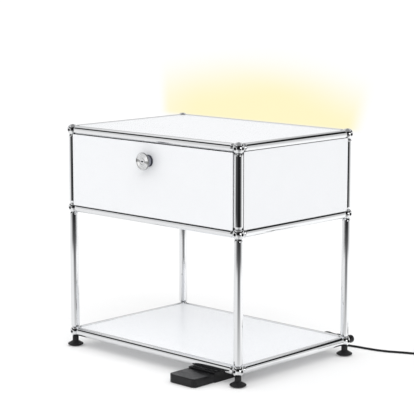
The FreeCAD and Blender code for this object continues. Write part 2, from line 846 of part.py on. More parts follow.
def lamp():
    half = LAMP_HALF
    half_board = S.board_width / 2
    seat = (BORE * BORE - half_board * half_board).root() - S.lamp_gap
    board_top = S.board_thickness - seat
    board = box(-half, half, -half_board, half_board, -seat, board_top)
    node(in_lamp(grouped(board)), "lamp_board")

    count = int(2 * LAMP_HALF.value / S.chip_step.value) - 1
    first = -(count - 1) / 2
    chip_half = S.chip_size / 2
    chips = []
    for i in range(count):
        x = (first + i) * S.chip_step
        chips.append(box(x - chip_half, x + chip_half, -chip_half, chip_half,
                         board_top, board_top + S.chip_height))
    node(in_lamp(grouped(*chips)), "lamp_chips")

    end = half - S.lamp_gap
    neck = S.lamp_slot / 2 - S.lamp_gap
    flange = box(-end, end, -half_board, half_board, seat - S.diffuser_flange, seat)
    stem = box(-end, end, -neck, neck, seat - S.diffuser_flange, S.tube_radius)
    length = 2 * end
    limit = rod(S.tube_radius - S.lamp_gap, length, -end, 0, 0, ALONG_X)
    node(in_lamp(common(fuse(flange, stem), limit)), "lamp_diffuser")


def feed():
    """The way of the lamp's current: rods in the rear right posts, and a contact on the board."""
    rods, spacers = [], []
    for low, span, count in ((BOTTOM, S.lower_height, 3), (MIDDLE, S.upper_height, 2)):
        length = span - 2 * HEAD_END
        rods.append(rod(S.conductor_radius, length, HALF_W, HALF_D, low + HEAD_END))
        for i in range(count):
            z = low + HEAD_END + length * ((i + 0.5) / count) - S.spacer_length / 2
            ring = rod(BORE - S.spacer_gap, S.spacer_length, HALF_W, HALF_D, z)
            spacers.append(cut(ring, rod(S.conductor_radius, S.spacer_length, HALF_W, HALF_D, z)))
    half_board = S.board_width / 2
    seat = (BORE * BORE - half_board * half_board).root() - S.lamp_gap
    start = LAMP_HALF - S.contact_width
    contact = box(start, HALF_W - HEAD_END, -S.contact_width / 2, S.contact_width / 2,
                  S.board_thickness - seat, S.board_thickness - seat + S.contact_rise)
    rods.append(in_lamp(grouped(contact)))
    node(grouped(*rods), "feed_conductors")
    node(grouped(*spacers), "conductor_spacers")


ARM_Y = HALF_D + S.ball_flat + S.feed_radius / 2 + S.feed_round / 2
ARM_END = (HALF_W - S.feed_arm_reach, ARM_Y, BOTTOM + S.feed_arm_rise)


def feed_plug():
    """The plug in the rear hole of the rear right bottom ball, with an arm to the left for its lead."""
    start = HALF_D + S.ball_flat
    dome = turned("feed_dome", (
        (0, 0), (S.feed_radius, 0), (S.feed_radius, S.feed_length), (0, S.feed_length),
    ))
    radius, height = S.feed_radius.value, S.feed_length.value
    soften(dome, "Fillet", S.feed_round, lambda e: is_ring(e, radius, height))
    place(dome, HALF_W, start, BOTTOM, ALONG_Y)
    pin = rod(S.ball_hole - S.screw_gap, S.feed_pin_depth, HALF_W, start - S.feed_pin_depth, BOTTOM, ALONG_Y)
    arm = cone(S.feed_arm_start, S.feed_arm_end, S.feed_arm_reach, HALF_W, ARM_Y, BOTTOM + S.feed_arm_rise,
               turn_about(0, 1, 0, -90))
    node(fuse(dome, pin, arm), "feed_plug")


# Foot dimmer: a base on the floor, a rear housing, and a pedal that tips on an axle in front of it
PEDAL_FRONT = -HALF_D - S.dimmer_front
PEDAL_BACK = PEDAL_FRONT + S.pedal_length
HOUSING_FRONT = PEDAL_BACK + S.pedal_slot
HOUSING_BACK = HOUSING_FRONT + S.housing_length
DIMMER_LEFT = S.dimmer_x - S.dimmer_width / 2
DIMMER_RIGHT = S.dimmer_x + S.dimmer_width / 2
AXLE_Y = PEDAL_BACK - S.axle_behind


def rounded_block(label, x0, x1, y0, y1, z0, z1, rounded, edge=None):
    """A block whose upright edges that pass a test are rounded, and its top edge softened."""
    body = new_body(label)
    sketch = new_sketch(body, height=z0)
    rectangle(sketch, x0, x1, y0, y1)
    pad(body, sketch, Size.of(z1) - Size.of(z0))
    soften(body, "Fillet", S.dimmer_corner, lambda e: is_upright(e) and rounded(e.CenterOfMass.y))
    if edge is not None:
        top = Size.of(z1).value
        soften(body, "Fillet", edge, lambda e: abs(e.BoundBox.ZMin - top) < 1e-6)
    return body


def dimmer_shell(label, y0, y1, z0, z1, rounded):
    """A cover open below, with an even wall."""
    body = rounded_block(label, DIMMER_LEFT, DIMMER_RIGHT, y0, y1, z0, z1, rounded, S.dimmer_edge)
    wall = S.dimmer_wall
    sketch = new_sketch(body, height=z0)
    corner = S.dimmer_corner / 2
    x0, x1 = DIMMER_LEFT + wall, DIMMER_RIGHT - wall
    y0, y1 = y0 + wall, y1 - wall
    outline(sketch, (
        (x0 + corner, y0), (x1 - corner, y0), (x1, y0 + corner), (x1, y1 - corner),
        (x1 - corner, y1), (x0 + corner, y1), (x0, y1 - corner), (x0, y0 + corner),
    ))
    pocket(body, sketch, Size.of(z1) - Size.of(z0) - wall, reverse=True)
    return body


def dimmer():
    front, back = PEDAL_FRONT.value, HOUSING_BACK.value
    top = S.base_thickness
    rear = rounded_block("rear_base", DIMMER_LEFT, DIMMER_RIGHT, HOUSING_FRONT, HOUSING_BACK, 0, top,
                         lambda y: abs(y - back) < 1e-6)
    inset = S.base_inset
    fore = box(DIMMER_LEFT + inset, DIMMER_RIGHT - inset,
               PEDAL_FRONT + S.dimmer_wall + S.dimmer_corner / 2, HOUSING_FRONT, 0, top)
    lugs, holes = [], []
    depth = S.lug_depth / 2
    inner_left, inner_right = DIMMER_LEFT + S.dimmer_wall, DIMMER_RIGHT - S.dimmer_wall
    for x in (inner_left + S.ear_width + S.lug_gap, inner_right - S.ear_width - S.lug_gap - S.lug_width):
        lugs.append(box(x, x + S.lug_width, AXLE_Y - depth, AXLE_Y + depth, top, S.axle_height + depth))
        holes.append(rod(S.axle_radius, S.lug_width, x, AXLE_Y, S.axle_height, ALONG_X))
    margin = S.dimmer_wall + S.circuit_margin
    reach = margin + S.circuit_post
    supports = [rod(S.circuit_post, S.circuit_lift, x, y, top)
                for x in (DIMMER_LEFT + reach, DIMMER_RIGHT - reach)
                for y in (HOUSING_FRONT + reach, HOUSING_BACK - reach)]
    node(cut(fuse(rear, fore, *lugs, *supports), *holes), "dimmer_base")

    lift = top + S.circuit_lift
    node(box(DIMMER_LEFT + margin, DIMMER_RIGHT - margin, HOUSING_FRONT + margin, HOUSING_BACK - margin,
             lift, lift + S.circuit_thickness), "dimmer_circuit")
    node(dimmer_shell("dimmer_housing", HOUSING_FRONT, HOUSING_BACK, top, S.housing_top,
                      lambda y: abs(y - back) < 1e-6), "dimmer_housing")

    cover = dimmer_shell("pedal_cover", PEDAL_FRONT, PEDAL_BACK, S.pedal_clear, S.pedal_top,
                         lambda y: abs(y - front) < 1e-6)
    ceiling = S.pedal_top - S.dimmer_wall
    ears = [box(x, x + S.ear_width, AXLE_Y - depth, AXLE_Y + depth, top + S.pedal_slot, ceiling)
            for x in (inner_left, inner_right - S.ear_width)]
    axle_length = inner_right - inner_left - 2 * S.pedal_slot
    bearing = rod(S.axle_radius + S.axle_gap, axle_length + S.pedal_slot,
                  inner_left + S.pedal_slot / 2, AXLE_Y, S.axle_height, ALONG_X)
    clear = S.pedal_slot / 2
    passage = box(DIMMER_LEFT + inset - clear, DIMMER_RIGHT - inset + clear,
                  PEDAL_BACK - S.dimmer_corner, HOUSING_FRONT, 0, top + S.pedal_slot)
    node(cut(fuse(cover, *ears), bearing, passage), "dimmer_pedal")
    node(rod(S.axle_radius, axle_length, inner_left + S.pedal_slot, AXLE_Y, S.axle_height, ALONG_X),
         "pedal_axle")

    switch_y = AXLE_Y - S.switch_ahead
    half = S.switch_size / 2
    block = box(S.dimmer_x - half, S.dimmer_x + half, switch_y - half, switch_y + half,
                top, top + S.switch_height)
    plunger = rod(S.plunger_radius, ceiling - S.plunger_top - top, S.dimmer_x, switch_y, top)
    node(fuse(block, plunger), "dimmer_switch")

    reliefs = [cone(S.relief_start, S.relief_end, S.relief_length, x, HOUSING_BACK, S.relief_height, ALONG_Y)
               for x in (S.dimmer_x - S.relief_offset, S.dimmer_x + S.relief_offset)]
    node(grouped(*reliefs), "strain_reliefs")


# Cords: straight runs joined by tangent arcs, and a coil of two spirals
def bent_path(label, points):
    """A path through points, each corner rounded as widely as its shorter run allows."""
    points = [Vector(*p) for p in points]
    edges, radii, start = [], [], points[0]
    for before, corner, after in zip(points, points[1:], points[2:]):
        back, ahead = before - corner, after - corner
        reach = 0.45 * min(back.Length, ahead.Length)
        back.normalize()
        ahead.normalize()
        half_turn = (math.pi - back.getAngle(ahead)) / 2
        radius = reach / math.tan(half_turn)
        enter, leave = corner + back * reach, corner + ahead * reach
        middle = back + ahead
        middle.normalize()
        crest = corner + middle * (radius / math.cos(half_turn) - radius)
        edges += [Part.LineSegment(start, enter).toShape(), Part.Arc(enter, crest, leave).toShape()]
        radii.append(radius)
        start = leave
    edges.append(Part.LineSegment(start, points[-1]).toShape())
    print(label, "bend radii", " ".join(f"{r:.0f}" for r in radii))
    return Part.Wire(edges)


def cord(label, path):
    """A round cord along a path, checked against its section times its length."""
    start = path.Edges[0]
    way = start.tangentAt(start.FirstParameter)
    section = Part.Wire(Part.Circle(start.valueAt(start.FirstParameter), way, S.lead_radius.value).toShape())
    feature = doc.addObject("Part::Feature", label)
    feature.Shape = path.makePipeShell([section], True, False)
    expected = math.pi * S.lead_radius.value ** 2 * path.Length
    if abs(feature.Shape.Volume / expected - 1) > 0.01:
        raise RuntimeError(f"{label}: volume {feature.Shape.Volume:.0f}, expected {expected:.0f}")
    print(label, f"length {path.Length:.0f}")
    node(feature, label)


def biarc(start, start_way, end, end_way):
    """Two tangent arcs from one point and direction to another."""
    chord = end - start
    ways = start_way + end_way
    spread = 2 * (1 - start_way.dot(end_way))
    lean = chord.dot(ways)
    reach = (-lean + math.sqrt(lean * lean + spread * chord.dot(chord))) / spread
    first, second = start + start_way * reach, end - end_way * reach
    joint = (first + second) * 0.5
    arcs = []
    for a, corner, b in ((start, first, joint), (joint, second, end)):
        middle = (a + b) * 0.5
        out = corner - middle
        half_chord = (b - a).Length / 2
        rise = half_chord * math.tan(math.atan2(out.Length, half_chord) / 2)
        out.normalize()
        arcs.append(Part.Arc(a, middle + out * rise, b).toShape())
    return arcs


def coil_point(turns, layer_z):
    """The coil's line at a number of turns: a spiral in, a half turn up one layer, and a spiral out."""
    step, outer = S.coil_step.value, S.coil_outer.value
    climb_from = S.coil_turns_in.value
    climb_to = climb_from + 0.5
    climbed = min(max((turns - climb_from) / (climb_to - climb_from), 0.0), 1.0)
    reverse = (climb_from + climb_to) / 2
    radius = outer - step * reverse + step * abs(turns - reverse)
    lift = climbed * climbed * (3 - 2 * climbed) * S.coil_layer.value
    angle = COIL_HEADING - math.pi / 2 + 2 * math.pi * turns
    centre_x = COIL_START[0] - outer * math.sin(COIL_HEADING)
    centre_y = COIL_START[1] + outer * math.cos(COIL_HEADING)
    return Vector(centre_x + radius * math.cos(angle), centre_y + radius * math.sin(angle), layer_z + lift)


def coil_path():
    """The coil's line in quarter turns, straight for one cord diameter at each end."""
    layer_z = S.lead_radius.value
    turns = S.coil_turns_in.value + 0.5 + S.coil_turns_out.value
    count = round(turns * 4)
    fine = 1e-4
    heading = Vector(math.cos(COIL_HEADING), math.sin(COIL_HEADING), 0)
    stations = []
    for i in range(count + 1):
        at = turns * i / count
        way = coil_point(at + fine, layer_z) - coil_point(at - fine, layer_z)
        way.normalize()
        stations.append((coil_point(at, layer_z), way))
    stations[0] = (stations[0][0], heading)
    stations[-1] = (stations[-1][0], heading)
    straight = heading * (2 * layer_z)
    begin, finish = stations[0][0] - straight, stations[-1][0] + straight
    edges = [Part.LineSegment(begin, stations[0][0]).toShape()]
    for (a, way_a), (b, way_b) in zip(stations, stations[1:]):
        edges += biarc(a, way_a, b, way_b)
    edges.append(Part.LineSegment(stations[-1][0], finish).toShape())
    return Part.Wire(edges), begin, finish, heading


def print_coil_gap(path):
    """Measure the least gap between the coil's turns on points along its line."""
    spacing = S.lead_radius.value
    points = path.discretize(Distance=spacing)
    apart = int(6 * S.lead_radius.value / spacing) + 1
    least = min((p - q).Length for i, p in enumerate(points) for q in points[i + apart:])
    print(f"mains_coil least gap to itself {least - 2 * S.lead_radius.value:.2f}")


def cords():
    path, begin, finish, heading = coil_path()
    print_coil_gap(path)
    relief_end = (HOUSING_BACK + S.relief_length).value
    mains_x = (S.dimmer_x - S.relief_offset).value
    light_x = (S.dimmer_x + S.relief_offset).value
    height = S.relief_height.value
    straight = S.lead_straight.value
    lead_in = begin - heading * (3 * S.lead_radius.value)
    mains = [(mains_x, relief_end, height), (mains_x, relief_end + straight, height),
             *MAINS_POINTS, tuple(lead_in), tuple(begin)]
    cord("mains_lead", bent_path("mains_lead", mains))
    cord("mains_coil", path)
    arm_end = tuple(v.value for v in ARM_END)
    light = [arm_end, (arm_end[0] - straight, *arm_end[1:]), *LIGHT_POINTS,
             (light_x, relief_end + straight, height), (light_x, relief_end, height)]
    cord("light_lead", bent_path("light_lead", light))
    mains_plug(finish, heading)


def mains_plug(where, heading):
    """A flat two-pin plug on the floor at the coil's end, with its strain relief."""
    turn = FreeCAD.Rotation(Vector(0, 0, 1), math.degrees(math.atan2(heading.y, heading.x)))
    height = where.z
    start = S.plug_relief
    end = start + S.plug_body_length
    half = S.plug_body_width / 2
    body = new_body("plug_body")
    sketch = new_sketch(body, height=-height)
    outline(sketch, (
        (start, -half / 2), (start + half / 2, -half), (end, -half), (end, half), (start + half / 2, half),
        (start, half / 2),
    ))
    pad(body, sketch, 2 * height)
    soften(body, "Fillet", S.plug_body_round, is_upright)
    relief = cone(S.relief_end, S.relief_start, S.plug_relief, 0, 0, 0, ALONG_X)
    plug = fuse(body, relief)
    node(place(plug, where.x, where.y, where.z, turn), "mains_plug")
    pins = [rod(S.plug_pin_radius, S.plug_pin_length, end, side * S.plug_pin_step / 2, 0, ALONG_X)
            for side in (-1, 1)]
    node(place(grouped(*pins), where.x, where.y, where.z, turn), "plug_pins")


def write_parts():
    """Check every object and piece, then write one file for each piece."""
    doc.recompute()
    for obj in doc.Objects:
        if "Invalid" in obj.State or "Error" in obj.State:
            raise RuntimeError(f"{obj.Label}: {obj.State}")
    for obj in NODES:
        if obj.Shape.isNull() or not obj.Shape.isValid() or not obj.Shape.Solids:
            raise RuntimeError(f"{obj.Label}: no valid solid")
    os.makedirs("parts", exist_ok=True)
    for obj in NODES:
        obj.Shape.exportStep(os.path.join("parts", f"{obj.Label}.step"))
    print(len(NODES), "pieces,", sum(len(obj.Shape.Solids) for obj in NODES), "solids")


ball_connectors()
level_tubes()
posts()
tube_fixings()
panels()
hinge()
door_panel()
lock()
knob()
feet()
lamp()
feed()
feed_plug()
dimmer()
cords()
write_parts()
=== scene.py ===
"""Dresses the nightstand with light: finishes, cords, small details, studio light and camera."""

import logging
import math
from collections.abc import Iterable, Sequence
from dataclasses import dataclass, field
from enum import Enum
from functools import reduce

import bpy
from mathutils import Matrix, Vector


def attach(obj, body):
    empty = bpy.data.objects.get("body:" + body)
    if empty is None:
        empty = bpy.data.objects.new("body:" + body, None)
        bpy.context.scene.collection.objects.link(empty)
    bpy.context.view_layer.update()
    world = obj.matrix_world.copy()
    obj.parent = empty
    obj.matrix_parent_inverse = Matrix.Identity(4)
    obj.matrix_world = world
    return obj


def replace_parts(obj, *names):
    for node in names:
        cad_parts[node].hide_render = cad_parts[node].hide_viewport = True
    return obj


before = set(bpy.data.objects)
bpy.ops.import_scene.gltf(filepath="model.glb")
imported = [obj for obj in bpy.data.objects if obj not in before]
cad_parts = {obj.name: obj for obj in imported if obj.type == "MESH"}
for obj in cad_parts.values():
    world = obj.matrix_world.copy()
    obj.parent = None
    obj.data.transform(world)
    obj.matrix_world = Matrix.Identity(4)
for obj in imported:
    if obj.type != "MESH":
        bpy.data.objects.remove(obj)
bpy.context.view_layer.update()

MM = 0.001
Colour = tuple[float, float, float]
Point = tuple[float, float, float]
Pair = tuple[float, float]
Socket = bpy.types.NodeSocket
Parts = bpy.types.NodeOutputs
log = logging.getLogger("nightstand")

# The ball centres in millimetres: where they are along X and Y on either side, and how high
BALL_CORNER: Pair = (250.0, 175.0)
BALL_LEVELS = (33.5, 318.5, 493.5)
# Noise levels over which clouds and marks turn, and their finer octaves
CLOUD_SPAN: Pair = (0.35, 0.65)
CLOUD_DETAIL = 3.0
MARK_SPAN: Pair = (0.3, 0.7)
MARK_DETAIL = 2.0
# Steps round a ring and its section, the section's radius over the ring's, and the ribs on a sleeve
RING_STEPS = 24
SECTION_STEPS = 8
THREAD_RATIO = 0.1
RIB_RATIO = 0.11
RIB_COUNT = 6
# Keeps a length that divides off zero
LEAST_LENGTH = 0.0001
WHITE = (1.0, 1.0, 1.0, 1.0)


def opaque(colour: Colour) -> tuple[float, float, float, float]:
    """Gives a colour with full opacity."""
    return (*colour, 1.0)


def grey(level: float) -> tuple[float, float, float, float]:
    """Gives an opaque grey."""
    return (level, level, level, 1.0)


class Graph:
    """Builds one node tree, a node at a time."""

    def __init__(self, tree: bpy.types.NodeTree) -> None:
        """Takes a tree and clears it."""
        self.tree = tree
        tree.nodes.clear()

    def put(self, socket: Socket, value: object) -> None:
        """Links a socket to an output, or sets its own value."""
        if isinstance(value, Socket):
            self.tree.links.new(value, socket)
        else:
            socket.default_value = value

    def add(self, kind: str, settings: dict[str, object] | None = None, **inputs: object) -> bpy.types.Node:
        """Adds a node.

        Args:
            kind: The node's type.
            settings: Properties of the node itself.
            inputs: Values or output sockets, by input name with "_" for a space.

        Returns:
            The new node.
        """
        node = self.tree.nodes.new(kind)
        for name, value in (settings or {}).items():
            setattr(node, name, value)
        for name, value in inputs.items():
            self.put(node.inputs[name.replace("_", " ")], value)
        return node

    def sum(self, operation: str, *values: object) -> Socket:
        """Adds a Math node.

        Args:
            operation: The node's operation.
            values: Numbers or sockets, in order.

        Returns:
            The node's output.
        """
        node = self.add("ShaderNodeMath", {"operation": operation})
        for socket, value in zip(node.inputs, values):
            self.put(socket, value)
        return node.outputs[0]

    def total(self, *values: object) -> Socket:
        """Adds up numbers or sockets."""
        return reduce(lambda first, second: self.sum("ADD", first, second), values)

    def product(self, *values: object) -> Socket:
        """Multiplies numbers or sockets."""
        return reduce(lambda first, second: self.sum("MULTIPLY", first, second), values)

    def minus(self, first: object, second: object) -> Socket:
        """Takes the second number or socket from the first."""
        return self.sum("SUBTRACT", first, second)

    def length(self, *values: Socket) -> Socket:
        """Gives the length of a way from its parts."""
        return self.sum("SQRT", self.total(*(self.product(value, value) for value in values)))

    def split(self, vector: Socket) -> Parts:
        """Gives a vector's parts along X, Y and Z."""
        return self.add("ShaderNodeSeparateXYZ", Vector=vector).outputs

    def place(self, space: str = "Object") -> Parts:
        """Gives a texture coordinate's parts along X, Y and Z."""
        return self.split(self.add("ShaderNodeTexCoord").outputs[space])

    def ramp(self, value: Socket, start: float, end: float, way: str = "LINEAR") -> Socket:
        """Maps a value from 0 at start to 1 at end.

        Args:
            value: The socket to map.
            start: The value that gives 0.
            end: The value that gives 1.
            way: How it goes between them.

        Returns:
            The mapped output.
        """
        how = {"interpolation_type": way}
        return self.add("ShaderNodeMapRange", how, Value=value, From_Min=start, From_Max=end).outputs[0]

    def ease(self, value: Socket, start: float, end: float) -> Socket:
        """Maps a value smoothly from 0 at start to 1 at end."""
        return self.ramp(value, start, end, "SMOOTHSTEP")

    def over(self, value: Socket, span: Pair) -> Socket:
        """Maps a length smoothly from 0 to 1 over a span in millimetres."""
        return self.ease(value, *(end * MM for end in span))

    def least(self, value: Socket, low: float) -> Socket:
        """Squeezes a value from 0 to 1 so that it starts at a low level."""
        return self.sum("MULTIPLY_ADD", value, 1.0 - low, low)

    def mix(self, factor: object, first: object, second: object) -> Socket:
        """Mixes two colours.

        Args:
            factor: 0 for the first, 1 for the second.
            first: A colour or socket.
            second: A colour or socket.

        Returns:
            The mixed colour's output.
        """
        # The node has sockets for every data type, and these are the colour's
        node = self.add("ShaderNodeMix", {"data_type": "RGBA"})
        for index, value in ((0, factor), (6, first), (7, second)):
            self.put(node.inputs[index], value)
        return node.outputs[2]


def new_material(name: str) -> tuple[bpy.types.Material, Graph]:
    """Makes a material.

    Args:
        name: The material's name.

    Returns:
        The material, and the graph of its empty node tree.
    """
    material = bpy.data.materials.new(name)
    material.use_nodes = True
    return material, Graph(material.node_tree)


class Grain(Enum):
    """How a finish's marks lie: their stretch along X, Y and Z."""

    EVEN = (1.0, 1.0, 1.0)
    ALONG_X = (0.04, 1.0, 1.0)
    ALONG_Z = (1.0, 1.0, 0.04)


@dataclass(frozen=True)
class Finish:
    """One surface finish, with its marks at their real size in millimetres."""

    name: str
    colour: Colour
    rough: Pair
    mark: float
    relief: float = 0.0
    grain: Grain = Grain.EVEN
    metal: float = 0.0
    cloud: Colour | None = None
    cloud_size: float = 40.0
    shine: float = 0.5
    glow: float = 0.0

    def material(self) -> bpy.types.Material:
        """Gives the finish's material, made once."""
        made = bpy.data.materials.get(self.name)
        return made if made else self._make()

    def _noise(self, graph: Graph, size: float, detail: float) -> Socket:
        """Adds noise in object space.

        Args:
            graph: The material's graph.
            size: The marks' size in millimetres.
            detail: How many finer octaves it has.

        Returns:
            The noise's value.
        """
        where = graph.add("ShaderNodeTexCoord").outputs["Object"]
        scale = tuple(stretch / (size * MM) for stretch in self.grain.value)
        spread = graph.add("ShaderNodeMapping", Vector=where, Scale=scale)
        return graph.add("ShaderNodeTexNoise", Vector=spread.outputs[0], Scale=1.0, Detail=detail).outputs[0]

    def _colour(self, graph: Graph) -> object:
        """Gives the base colour, clouded if the finish is.

        Args:
            graph: The material's graph.

        Returns:
            A colour or its socket.
        """
        if not self.cloud:
            return opaque(self.colour)
        clouds = graph.ease(self._noise(graph, self.cloud_size, CLOUD_DETAIL), *CLOUD_SPAN)
        return graph.mix(clouds, opaque(self.colour), opaque(self.cloud))

    def _make(self) -> bpy.types.Material:
        """Builds the material's nodes.

        Returns:
            The new material.
        """
        material, graph = new_material(self.name)
        marks = self._noise(graph, self.mark, MARK_DETAIL)
        rough = graph.add("ShaderNodeMapRange", Value=marks, From_Min=MARK_SPAN[0], From_Max=MARK_SPAN[1],
                          To_Min=self.rough[0], To_Max=self.rough[1])
        shader = graph.add("ShaderNodeBsdfPrincipled", Base_Color=self._colour(graph), Metallic=self.metal,
                           Roughness=rough.outputs[0], Specular_IOR_Level=self.shine,
                           Emission_Color=opaque(self.colour), Emission_Strength=self.glow)
        if self.relief:
            bump = graph.add("ShaderNodeBump", Height=marks, Strength=1.0, Distance=self.relief * MM)
            graph.put(shader.inputs["Normal"], bump.outputs[0])
        self._cut(graph, shader)
        graph.add("ShaderNodeOutputMaterial", Surface=shader.outputs[0])
        return material

    def _cut(self, graph: Graph, shader: bpy.types.Node) -> None:
        """Lets a finish add the marks of its cutting; a plain finish has none."""


@dataclass(frozen=True)
class FrameFinish(Finish):
    """A finish that knows where the frame's balls and tubes are."""

    def _offsets(self, graph: Graph) -> list[Socket]:
        """Measures how far a place is from the nearest ball.

        Args:
            graph: The material's graph.

        Returns:
            Its offsets along X, Y and Z.
        """
        at = graph.place()
        across = [graph.minus(graph.sum("ABSOLUTE", at[axis]), half * MM)
                  for axis, half in zip("XY", BALL_CORNER)]
        rise = [graph.sum("ABSOLUTE", graph.minus(at["Z"], level * MM)) for level in BALL_LEVELS]
        return [*across, reduce(lambda first, second: graph.sum("MINIMUM", first, second), rise)]


@dataclass(frozen=True)
class HollowFinish(FrameFinish):
    """A finish for the balls with painted shade inside their holes."""

    skin: Pair = (11.3, 10.6)
    # Colour of the painted shade deep in the holes
    hollow_shade: Colour = (0.012, 0.012, 0.013)

    def _colour(self, graph: Graph) -> object:
        """Gives the base colour, with painted shade near each ball's middle."""
        # Painted shade: the colour turns near black deep inside each hole
        inside = graph.over(graph.length(*self._offsets(graph)), self.skin)
        return graph.mix(inside, opaque(self.colour), opaque(self.hollow_shade))


@dataclass(frozen=True)
class GapShadeFinish(FrameFinish):
    """A finish for sheets with painted shade in the narrow gap along the tubes."""

    joint: Pair = (11.0, 10.2)
    gap_shade: float = 0.12

    def _colour(self, graph: Graph) -> object:
        """Gives the clouded base colour, with painted shade close to the tubes.

        Args:
            graph: The material's graph.

        Returns:
            The colour's socket.
        """
        x, y, z = self._offsets(graph)
        level = graph.sum("MINIMUM", graph.length(x, z), graph.length(y, z))
        gap = graph.sum("MINIMUM", level, graph.length(x, y))
        # Painted shade: the sheet darkens in the narrow gap next to each tube
        close = graph.over(gap, self.joint)
        return graph.mix(close, super()._colour(graph), grey(self.gap_shade))


@dataclass(frozen=True)
class TurnedPaintedFinish(Finish):
    """A finish for the knob: fine grooves round its axis, a painted highlight and a painted shade in sectors
    on its face, and painted shade on the rim and the neck.
    """

    axis: Pair = (0.0, 446.5)
    rim_back: Pair = (-200.6, -200.2)
    rim_radius: Pair = (18.4, 18.8)
    # Grey of the painted shade on the rim
    rim_shade: float = 0.3
    neck_radius: Pair = (14.0, 13.0)
    # Colour of the painted shade on the chrome neck
    neck: Colour = (0.30, 0.302, 0.35)
    groove: float = 0.75
    wedge_radius: Pair = (4.0, 11.0)
    wedge_pairs: float = 2.0
    # Painted reflection on the face, as middle angle, edge and grey level: first a painted highlight, then a
    # painted shade
    painted_wedges: tuple[tuple[float, float, float], ...] = ((27.0, 0.70, 1.0), (-6.0, 0.84, 0.34))

    def _colour(self, graph: Graph) -> object:
        """Gives the base colour, with a painted highlight and a painted shade in sectors on the face, and
        painted shade on the rim and the neck.

        Args:
            graph: The material's graph.

        Returns:
            The colour's socket.
        """
        at = graph.place()
        across = graph.minus(at["X"], self.axis[0] * MM)
        up = graph.minus(at["Z"], self.axis[1] * MM)
        out = graph.length(across, up)
        angle = graph.sum("ARCTAN2", up, across)
        outer = graph.over(out, self.wedge_radius)
        colour: object = opaque(self.colour)
        # Painted highlight and painted shade in sectors round the axis
        for middle, edge, level in self.painted_wedges:
            turned = graph.product(graph.minus(angle, math.radians(middle)), self.wedge_pairs)
            painted_wedge = graph.product(graph.ease(graph.sum("COSINE", turned), edge, 1.0), outer)
            colour = graph.mix(painted_wedge, colour, grey(level))
        # Painted shade on the rim, and on the neck behind it
        colour = graph.mix(graph.over(out, self.rim_radius), colour, grey(self.rim_shade))
        behind = graph.product(graph.over(at["Y"], self.rim_back), graph.over(out, self.neck_radius))
        return graph.mix(behind, colour, opaque(self.neck))

    def _cut(self, graph: Graph, shader: bpy.types.Node) -> None:
        """Turns the grooves round the knob's axis.

        Args:
            graph: The material's graph.
            shader: The shader to groove.
        """
        at = graph.place()
        along = graph.add("ShaderNodeCombineXYZ", X=graph.minus(at["Z"], self.axis[1] * MM),
                          Z=graph.minus(self.axis[0] * MM, at["X"]))
        spaces = {"vector_type": "VECTOR", "convert_from": "OBJECT", "convert_to": "WORLD"}
        turned = graph.add("ShaderNodeVectorTransform", spaces, Vector=along.outputs[0])
        graph.put(shader.inputs["Tangent"], turned.outputs[0])
        graph.put(shader.inputs["Anisotropic"], self.groove)


# Ball chrome with painted shade deep inside the holes
BALL_CHROME = HollowFinish("polished_ball_chrome", (0.80, 0.808, 0.82), (0.03, 0.07), 45.0, metal=1.0)
CHROME = Finish("polished_chrome", (0.80, 0.808, 0.82), (0.03, 0.07), 45.0, metal=1.0)
# White powder coat, with painted shade in the gap along the tubes
POWDER_COAT = GapShadeFinish("white_powder_coat", (0.853, 0.864, 0.884), (0.26, 0.34), 1.3, 0.006,
                          cloud=(0.846, 0.857, 0.877), cloud_size=90.0)
ZINC = Finish("zinc_plated_steel", (0.58, 0.59, 0.60), (0.26, 0.42), 0.6, 0.004, Grain.ALONG_X, 1.0,
              (0.50, 0.51, 0.53), 6.0)
# Near-black metal for the thread rings and the key slot's sheet: real thread shapes, with painted shade of
# the holes as their colour
SHADED_THREAD = Finish("thread_and_hole_shade", (0.03, 0.03, 0.033), (0.35, 0.5), 0.8, 0.01, metal=1.0)
# A dark chrome for the knob's collar
DARK_CHROME = Finish("dark_chrome", (0.07, 0.073, 0.095), (0.10, 0.18), 12.0, metal=1.0)
# The knob's chrome, with painted highlight and painted shade
TURNED_PAINTED_CHROME = TurnedPaintedFinish("turned_chrome_painted_light", (0.80, 0.805, 0.815), (0.22, 0.3), 0.5, metal=1.0)
CAST_METAL = Finish("cast_lock_metal", (0.52, 0.52, 0.53), (0.38, 0.52), 0.9, 0.02, metal=1.0,
                    cloud=(0.44, 0.44, 0.46), cloud_size=9.0)
FOOT_PLASTIC = Finish("black_foot_plastic", (0.010, 0.010, 0.011), (0.34, 0.46), 0.5, 0.006,
                      cloud=(0.014, 0.014, 0.015), cloud_size=12.0, shine=0.25)
MOULDED_BLACK = Finish("grained_black_plastic", (0.005, 0.005, 0.006), (0.20, 0.28), 0.45, 0.004,
                       cloud=(0.008, 0.008, 0.009), cloud_size=20.0, shine=0.27)
CORD_RUBBER = Finish("black_cord_rubber", (0.007, 0.007, 0.008), (0.5, 0.62), 0.7, 0.008,
                     cloud=(0.011, 0.011, 0.012), cloud_size=14.0, shine=0.25)
TIE_WEBBING = Finish("black_tie_webbing", (0.016, 0.016, 0.017), (0.75, 0.9), 0.35, 0.05, Grain.ALONG_Z,
                     cloud=(0.026, 0.026, 0.028), cloud_size=1.2)
LAMP_BOARD = Finish("white_lamp_board", (0.82, 0.82, 0.80), (0.4, 0.5), 2.0, 0.004, cloud=(0.79, 0.79, 0.77))
LAMP_LIGHT = Finish("warm_light_chip", (1.0, 0.74, 0.36), (0.2, 0.3), 1.0, glow=3.0)
DIFFUSER = Finish("opal_diffuser", (0.95, 0.81, 0.50), (0.35, 0.45), 3.0, 0.003, glow=0.5)
BRASS = Finish("plain_brass", (0.72, 0.54, 0.26), (0.2, 0.34), 0.8, 0.003, Grain.ALONG_X, 1.0,
               (0.66, 0.48, 0.23), 5.0)
